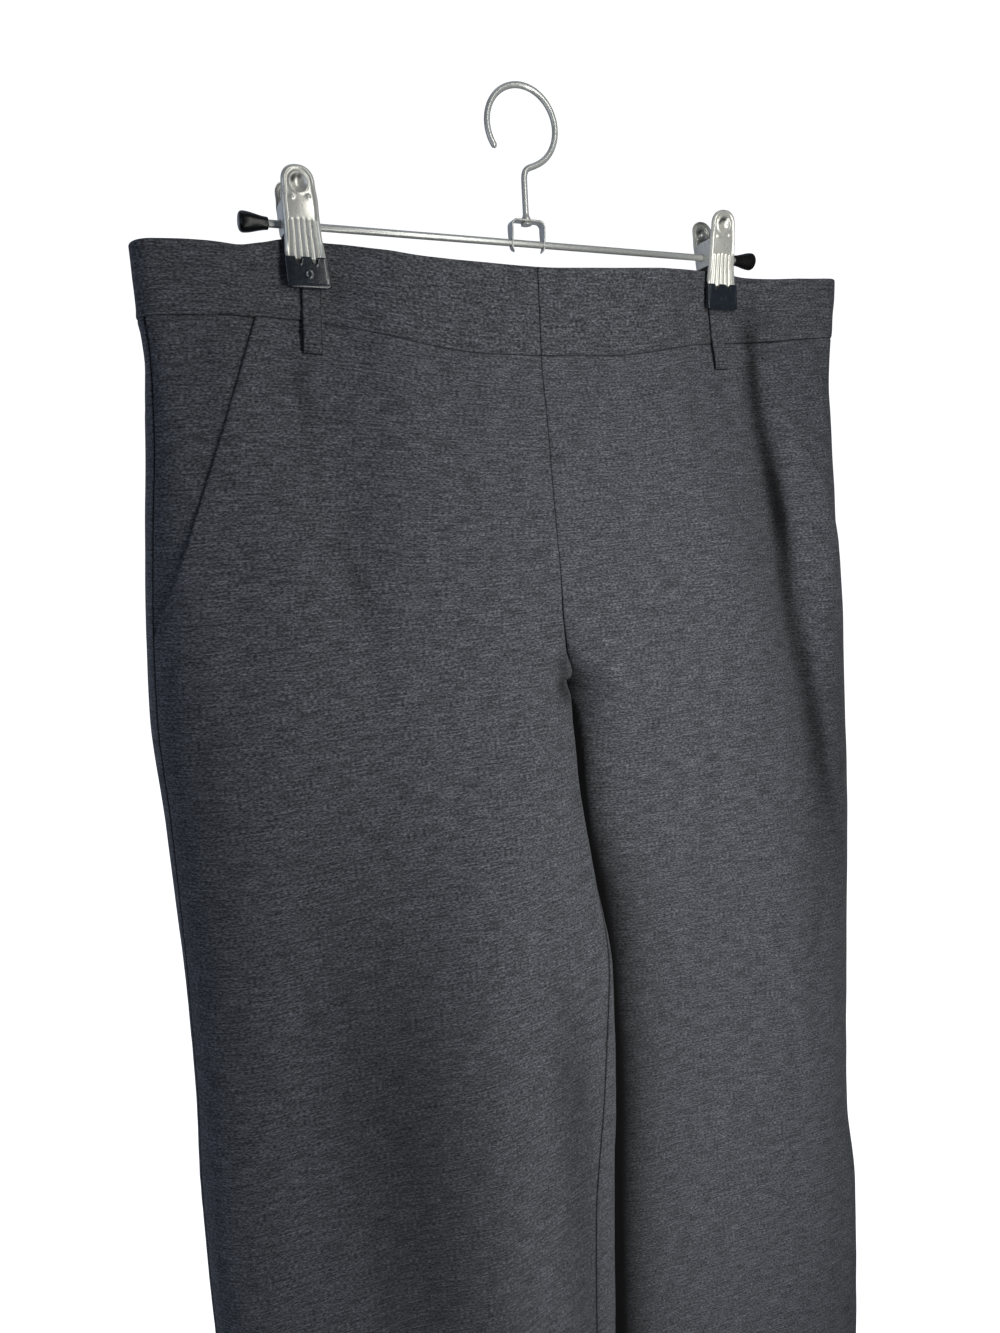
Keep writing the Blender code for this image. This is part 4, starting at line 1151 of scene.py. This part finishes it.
# ---------------------------------------------------------------- finishes
class Nodes:
    """Builds the nodes of a material or of the world, up to its own shader."""

    def __init__(self, owner, shader="Principled BSDF"):
        owner.use_nodes = True
        self.owner = owner
        self.tree = owner.node_tree
        self.shader = self.tree.nodes[shader]

    def feed(self, node, inputs):
        """Links a node's inputs, or sets those that are given as values."""
        for name, value in inputs.items():
            if isinstance(value, bpy.types.NodeSocket):
                self.tree.links.new(value, node.inputs[name])
            else:
                node.inputs[name].default_value = value

    def add(self, kind, output, inputs=None, **settings):
        """Adds a node and returns one of its outputs."""
        node = self.tree.nodes.new(kind)
        for name, value in settings.items():
            setattr(node, name, value)
        self.feed(node, inputs or {})
        return node.outputs[output]

    def cloth(self, scale):
        """Coordinates along the cloth, in steps of the given size a metre."""
        uv = self.add("ShaderNodeUVMap", "UV", uv_map="cloth")
        return self.add("ShaderNodeMapping", "Vector", {"Vector": uv, "Scale": scale})

    def room(self, scale):
        """Coordinates in the object's own space, in steps of the given size a metre."""
        place = self.add("ShaderNodeTexCoord", "Object")
        return self.add("ShaderNodeMapping", "Vector", {"Vector": place, "Scale": scale})

    def noise(self, place, detail, roughness=0.5, scale=1.0):
        inputs = {"Vector": place, "Scale": scale, "Detail": detail, "Roughness": roughness}
        return self.add("ShaderNodeTexNoise", "Fac", inputs)

    def ramp(self, value, *stops):
        node = self.add("ShaderNodeValToRGB", "Color", {"Fac": value}).node
        elements = node.color_ramp.elements
        while len(elements) < len(stops):
            elements.new(0.5)
        for element, (position, color) in zip(elements, stops):
            element.position = position
            element.color = (*np.broadcast_to(color, 3), 1.0)
        return node.outputs["Color"]

    def times(self, a, b):
        return self.add("ShaderNodeMix", 2, {0: 1.0, 6: a, 7: b}, data_type="RGBA", blend_type="MULTIPLY")

    def times_let_in(self, color):
        """The colour, darkened by painted shade where less light is let in."""
        return self.times(color, self.add("ShaderNodeAttribute", "Color", attribute_name="let_in"))

    def bump(self, height, distance, strength):
        inputs = {"Height": height, "Distance": distance, "Strength": strength}
        return self.add("ShaderNodeBump", "Normal", inputs)


def ponte(name, color, seed):
    """Charcoal melange double knit: flecked yarn in fine rows, with soft uneven mottling."""
    made = Nodes(bpy.data.materials.new(name))
    per_mm = 1000.0
    fleck = made.noise(made.cloth((0.55 * per_mm, 1.20 * per_mm, seed)), 3.0, 0.70)
    streak = made.noise(made.cloth((0.07 * per_mm, 0.85 * per_mm, seed + 5)), 2.0, 0.60)
    mottle = made.noise(made.cloth((0.09 * per_mm, 0.12 * per_mm, seed + 9)), 4.0, 0.70)
    color = np.array(color)
    base = made.ramp(fleck, (0.36, 0.30 * color), (0.50, color), (0.64, 2.15 * color))
    base = made.times(base, made.ramp(streak, (0.34, 0.64), (0.66, 1.36)))
    base = made.times(base, made.ramp(mottle, (0.30, 0.80), (0.70, 1.20)))
    rows = made.cloth((0.5 * per_mm, 0.35 * per_mm, 1.0))
    inputs = {"Vector": rows, "Scale": 1.0, "Distortion": 1.2, "Detail": 1.0}
    stitch = made.add("ShaderNodeTexWave", "Fac", inputs, wave_type="BANDS", bands_direction="Y")
    knit = made.add("ShaderNodeMath", 0, {0: stitch, 1: 0.5, 2: fleck}, operation="MULTIPLY_ADD")
    made.feed(made.shader, {
        # The cloth's colour, darkened by the painted shade of let_in
        "Base Color": made.times_let_in(base),
        "Roughness": 0.9,
        "Specular IOR Level": 0.12,
        "Sheen Weight": 0.05,
        "Sheen Roughness": 0.5,
        "Normal": made.bump(knit, 0.00018, 0.6),
    })
    return made.owner


def chrome(name, color, roughness, seed, shaded=False):
    """Worn plating, part mirror and part haze, with handling marks."""
    made = Nodes(bpy.data.materials.new(name))
    cloud = made.noise(made.room((60, 60, 60)), 3.0, 0.6, 1.0 + seed)
    fine = made.noise(made.room((900, 900, 260)), 2.0, 0.6, 1.0 + seed)
    base = made.ramp(cloud, (0.3, 0.92 * np.array(color)), (0.7, color))
    made.feed(made.shader, {
        # On the clip jaws the base colour carries the painted reflection and painted shade of let_in
        "Base Color": made.times_let_in(base) if shaded else base,
        "Roughness": made.ramp(fine, (0.3, roughness * 0.8), (0.7, roughness * 1.25)),
        "Metallic": 0.45,
        "Normal": made.bump(fine, 0.00002, 0.4),
    })
    return made.owner


def moulded(name, color, roughness, specular, grain):
    """Smooth moulded or dipped plastic with a faint grain."""
    made = Nodes(bpy.data.materials.new(name))
    fine = made.noise(made.room((grain, grain, grain)), 3.0, 0.6)
    color = np.array(color)
    made.feed(made.shader, {
        "Base Color": made.ramp(fine, (0.3, 0.8 * color), (0.7, 1.25 * color)),
        "Roughness": made.ramp(fine, (0.3, roughness * 0.85), (0.7, roughness * 1.15)),
        "Specular IOR Level": specular,
        "Normal": made.bump(fine, 0.00003, 0.5),
    })
    return made.owner


# ---------------------------------------------------------------- stage
CAMERA_PLACE = (-247.0, -484.0, -155.0)
CAMERA_YAW = 23.95
CAMERA_PITCH = -9.03
CAMERA_ROLL = -3.31
CAMERA_LENS = 24.36


def in_frame(place):
    """A place given in millimetres above the bar, in metres in the frame."""
    return (Vector(place) + Vector((0, 0, BAR_Z))) * MM


def make_camera():
    yaw, pitch, roll = (math.radians(a) for a in (CAMERA_YAW, CAMERA_PITCH, CAMERA_ROLL))
    ahead = Vector((math.sin(yaw) * math.cos(pitch), math.cos(yaw) * math.cos(pitch), math.sin(pitch)))
    right = Vector((math.cos(yaw), -math.sin(yaw), 0))
    up = right.cross(ahead)
    tilted_right = right * math.cos(roll) + up * math.sin(roll)
    tilted_up = up * math.cos(roll) - right * math.sin(roll)
    data = bpy.data.cameras.new("camera")
    data.lens = CAMERA_LENS
    data.sensor_width = 36
    data.clip_start = 0.01
    camera = bpy.data.objects.new("camera", data)
    bpy.context.scene.collection.objects.link(camera)
    axes = Matrix((tilted_right, tilted_up, -ahead)).transposed()
    camera.matrix_world = Matrix.Translation(in_frame(CAMERA_PLACE)) @ axes.to_4x4()
    bpy.context.scene.camera = camera


def make_floor():
    """Plain pale floor that sweeps up into a round wall, seen by the camera but lighting nothing."""
    radius = 5.0
    bend = 1.5
    floor_z = -1.6
    wall_top = 5.0
    sides = 64
    profile = [(0.01, floor_z)]
    for angle in np.linspace(0, math.pi / 2, 13):
        profile.append((radius - bend + bend * math.sin(angle), floor_z + bend - bend * math.cos(angle)))
    profile += [(radius, wall_top), (0.01, wall_top + 1.0)]
    points = []
    for r, z in profile:
        points += [(r * math.cos(a), r * math.sin(a), z) for a in 2 * math.pi * np.arange(sides) / sides]
    mesh = bpy.data.meshes.new("floor")
    mesh.from_pydata(points, [], ring_faces(len(profile), sides, capped=False))
    mesh.shade_smooth()
    made = Nodes(bpy.data.materials.new("floor"))
    made.feed(made.shader, {
        "Base Color": made.ramp(made.noise(made.room((3, 3, 3)), 2.0), (0.3, 0.93), (0.7, 0.95)),
        "Roughness": 0.95,
        "Emission Color": (1, 1, 1, 1),
        "Emission Strength": 1.0,
    })
    floor = add_object("floor", mesh, made.owner)
    floor.visible_diffuse = False
    floor.visible_glossy = False
    floor.visible_shadow = False


def area_light(name, place, target, size, watts, color):
    data = bpy.data.lights.new(name, "AREA")
    data.shape = "RECTANGLE"
    data.size, data.size_y = size
    data.energy = watts
    data.color = color
    light = bpy.data.objects.new(name, data)
    bpy.context.scene.collection.objects.link(light)
    light.location = in_frame(place)
    light.rotation_mode = "QUATERNION"
    light.rotation_quaternion = (in_frame(target) - in_frame(place)).to_track_quat("-Z", "Y")
    light.visible_camera = False


# Surroundings of the studio, as soft patches of brightness: direction, the cosines to it at which a
# patch is gone and full, and its strength
GLOWS = (
    (0, 0, 1, -1.01, -1.0, 0.085),
    (0.9, -0.3, 0.2, 0.955, 0.985, 0.35),
    (0, 0.1, 1, 0.85, 0.97, 0.5),
    (-0.2, 1, 0.25, 0.3, 0.95, 0.4),
)
GLOW_COLOR = (0.84, 0.92, 1.12, 1)

# Name, place and target in millimetres, size in metres, watts and colour
LIGHTS = (
    ("key", (65, -330, -310), (60, -20, -310), (0.10, 1.1), 2.75, (1.0, 0.99, 0.96)),
    ("fill", (-760, -190, -380), (-220, 0, -420), (0.25, 1.1), 1.5, (0.86, 0.97, 1.16)),
)


def make_light():
    scene = bpy.context.scene
    scene.world = bpy.data.worlds.new("studio")
    made = Nodes(scene.world, "Background")
    direction = made.add("ShaderNodeTexCoord", "Generated")
    total = 0.0
    for x, y, z, edge, full, strength in GLOWS:
        axis = Vector((x, y, z)).normalized()
        cosine = made.add("ShaderNodeVectorMath", "Value", {0: direction, 1: axis}, operation="DOT_PRODUCT")
        inputs = {"Value": cosine, "From Min": edge, "From Max": full, "To Max": strength}
        glow = made.add("ShaderNodeMapRange", "Result", inputs, interpolation_type="SMOOTHSTEP")
        total = made.add("ShaderNodeMath", 0, {0: total, 1: glow}, operation="ADD")
    made.feed(made.shader, {"Color": GLOW_COLOR, "Strength": total})
    scene.view_settings.view_transform = "Standard"
    for light in LIGHTS:
        area_light(*light)


def main():
    make_camera()
    make_floor()
    make_light()
    panel_finish = ponte("ponte_panel", (0.0590, 0.0612, 0.0690), 0.0)
    band_finish = ponte("ponte_band", (0.0555, 0.0575, 0.0640), 20.0)
    pocket_finish = ponte("ponte_pocket", (0.0530, 0.0555, 0.0625), 40.0)
    loop_finish = ponte("ponte_loop", (0.0520, 0.0540, 0.0605), 60.0)
    plate = chrome("hanger_chrome", (0.46, 0.47, 0.45), 0.30, 3.0)
    steel = chrome("clip_steel", (0.58, 0.58, 0.53), 0.31, 0.0, shaded=True)
    coil = chrome("spring_steel", (0.30, 0.30, 0.30), 0.32, 6.0)
    black = moulded("cap_plastic", (0.006, 0.006, 0.006), 0.28, 0.22, 700)
    vinyl = moulded("tip_vinyl", (0.010, 0.014, 0.019), 0.20, 0.55, 400)
    for side, sign in ((RIGHT, -1), (LEFT, 1)):
        panel("front", side, panel_finish)
        panel("back", side, panel_finish)
        pocket_bearer(side, pocket_finish)
        waistband(side, band_finish)
        for face, top_x, foot_x in LOOPS:
            belt_loop("belt_loop_" + face + "_" + side, face, sign * top_x, sign * foot_x, loop_finish)
    belt_loop("belt_loop_back_centre", "back", 0.0, 0.0, loop_finish)
    for side, sign in ((RIGHT, -1), (LEFT, 1)):
        hanger_cap(side, sign, black)
        for back in (False, True):
            clip_jaw(side, sign * CLIP_X, SWAY[side], back, steel)
            clip_tip(side, sign * CLIP_X, SWAY[side], back, vinyl)
        clip_spring(side, sign * CLIP_X, coil)
    hanger_bar(plate)
    hanger_yoke(plate)
    hanger_hook(plate)


main()
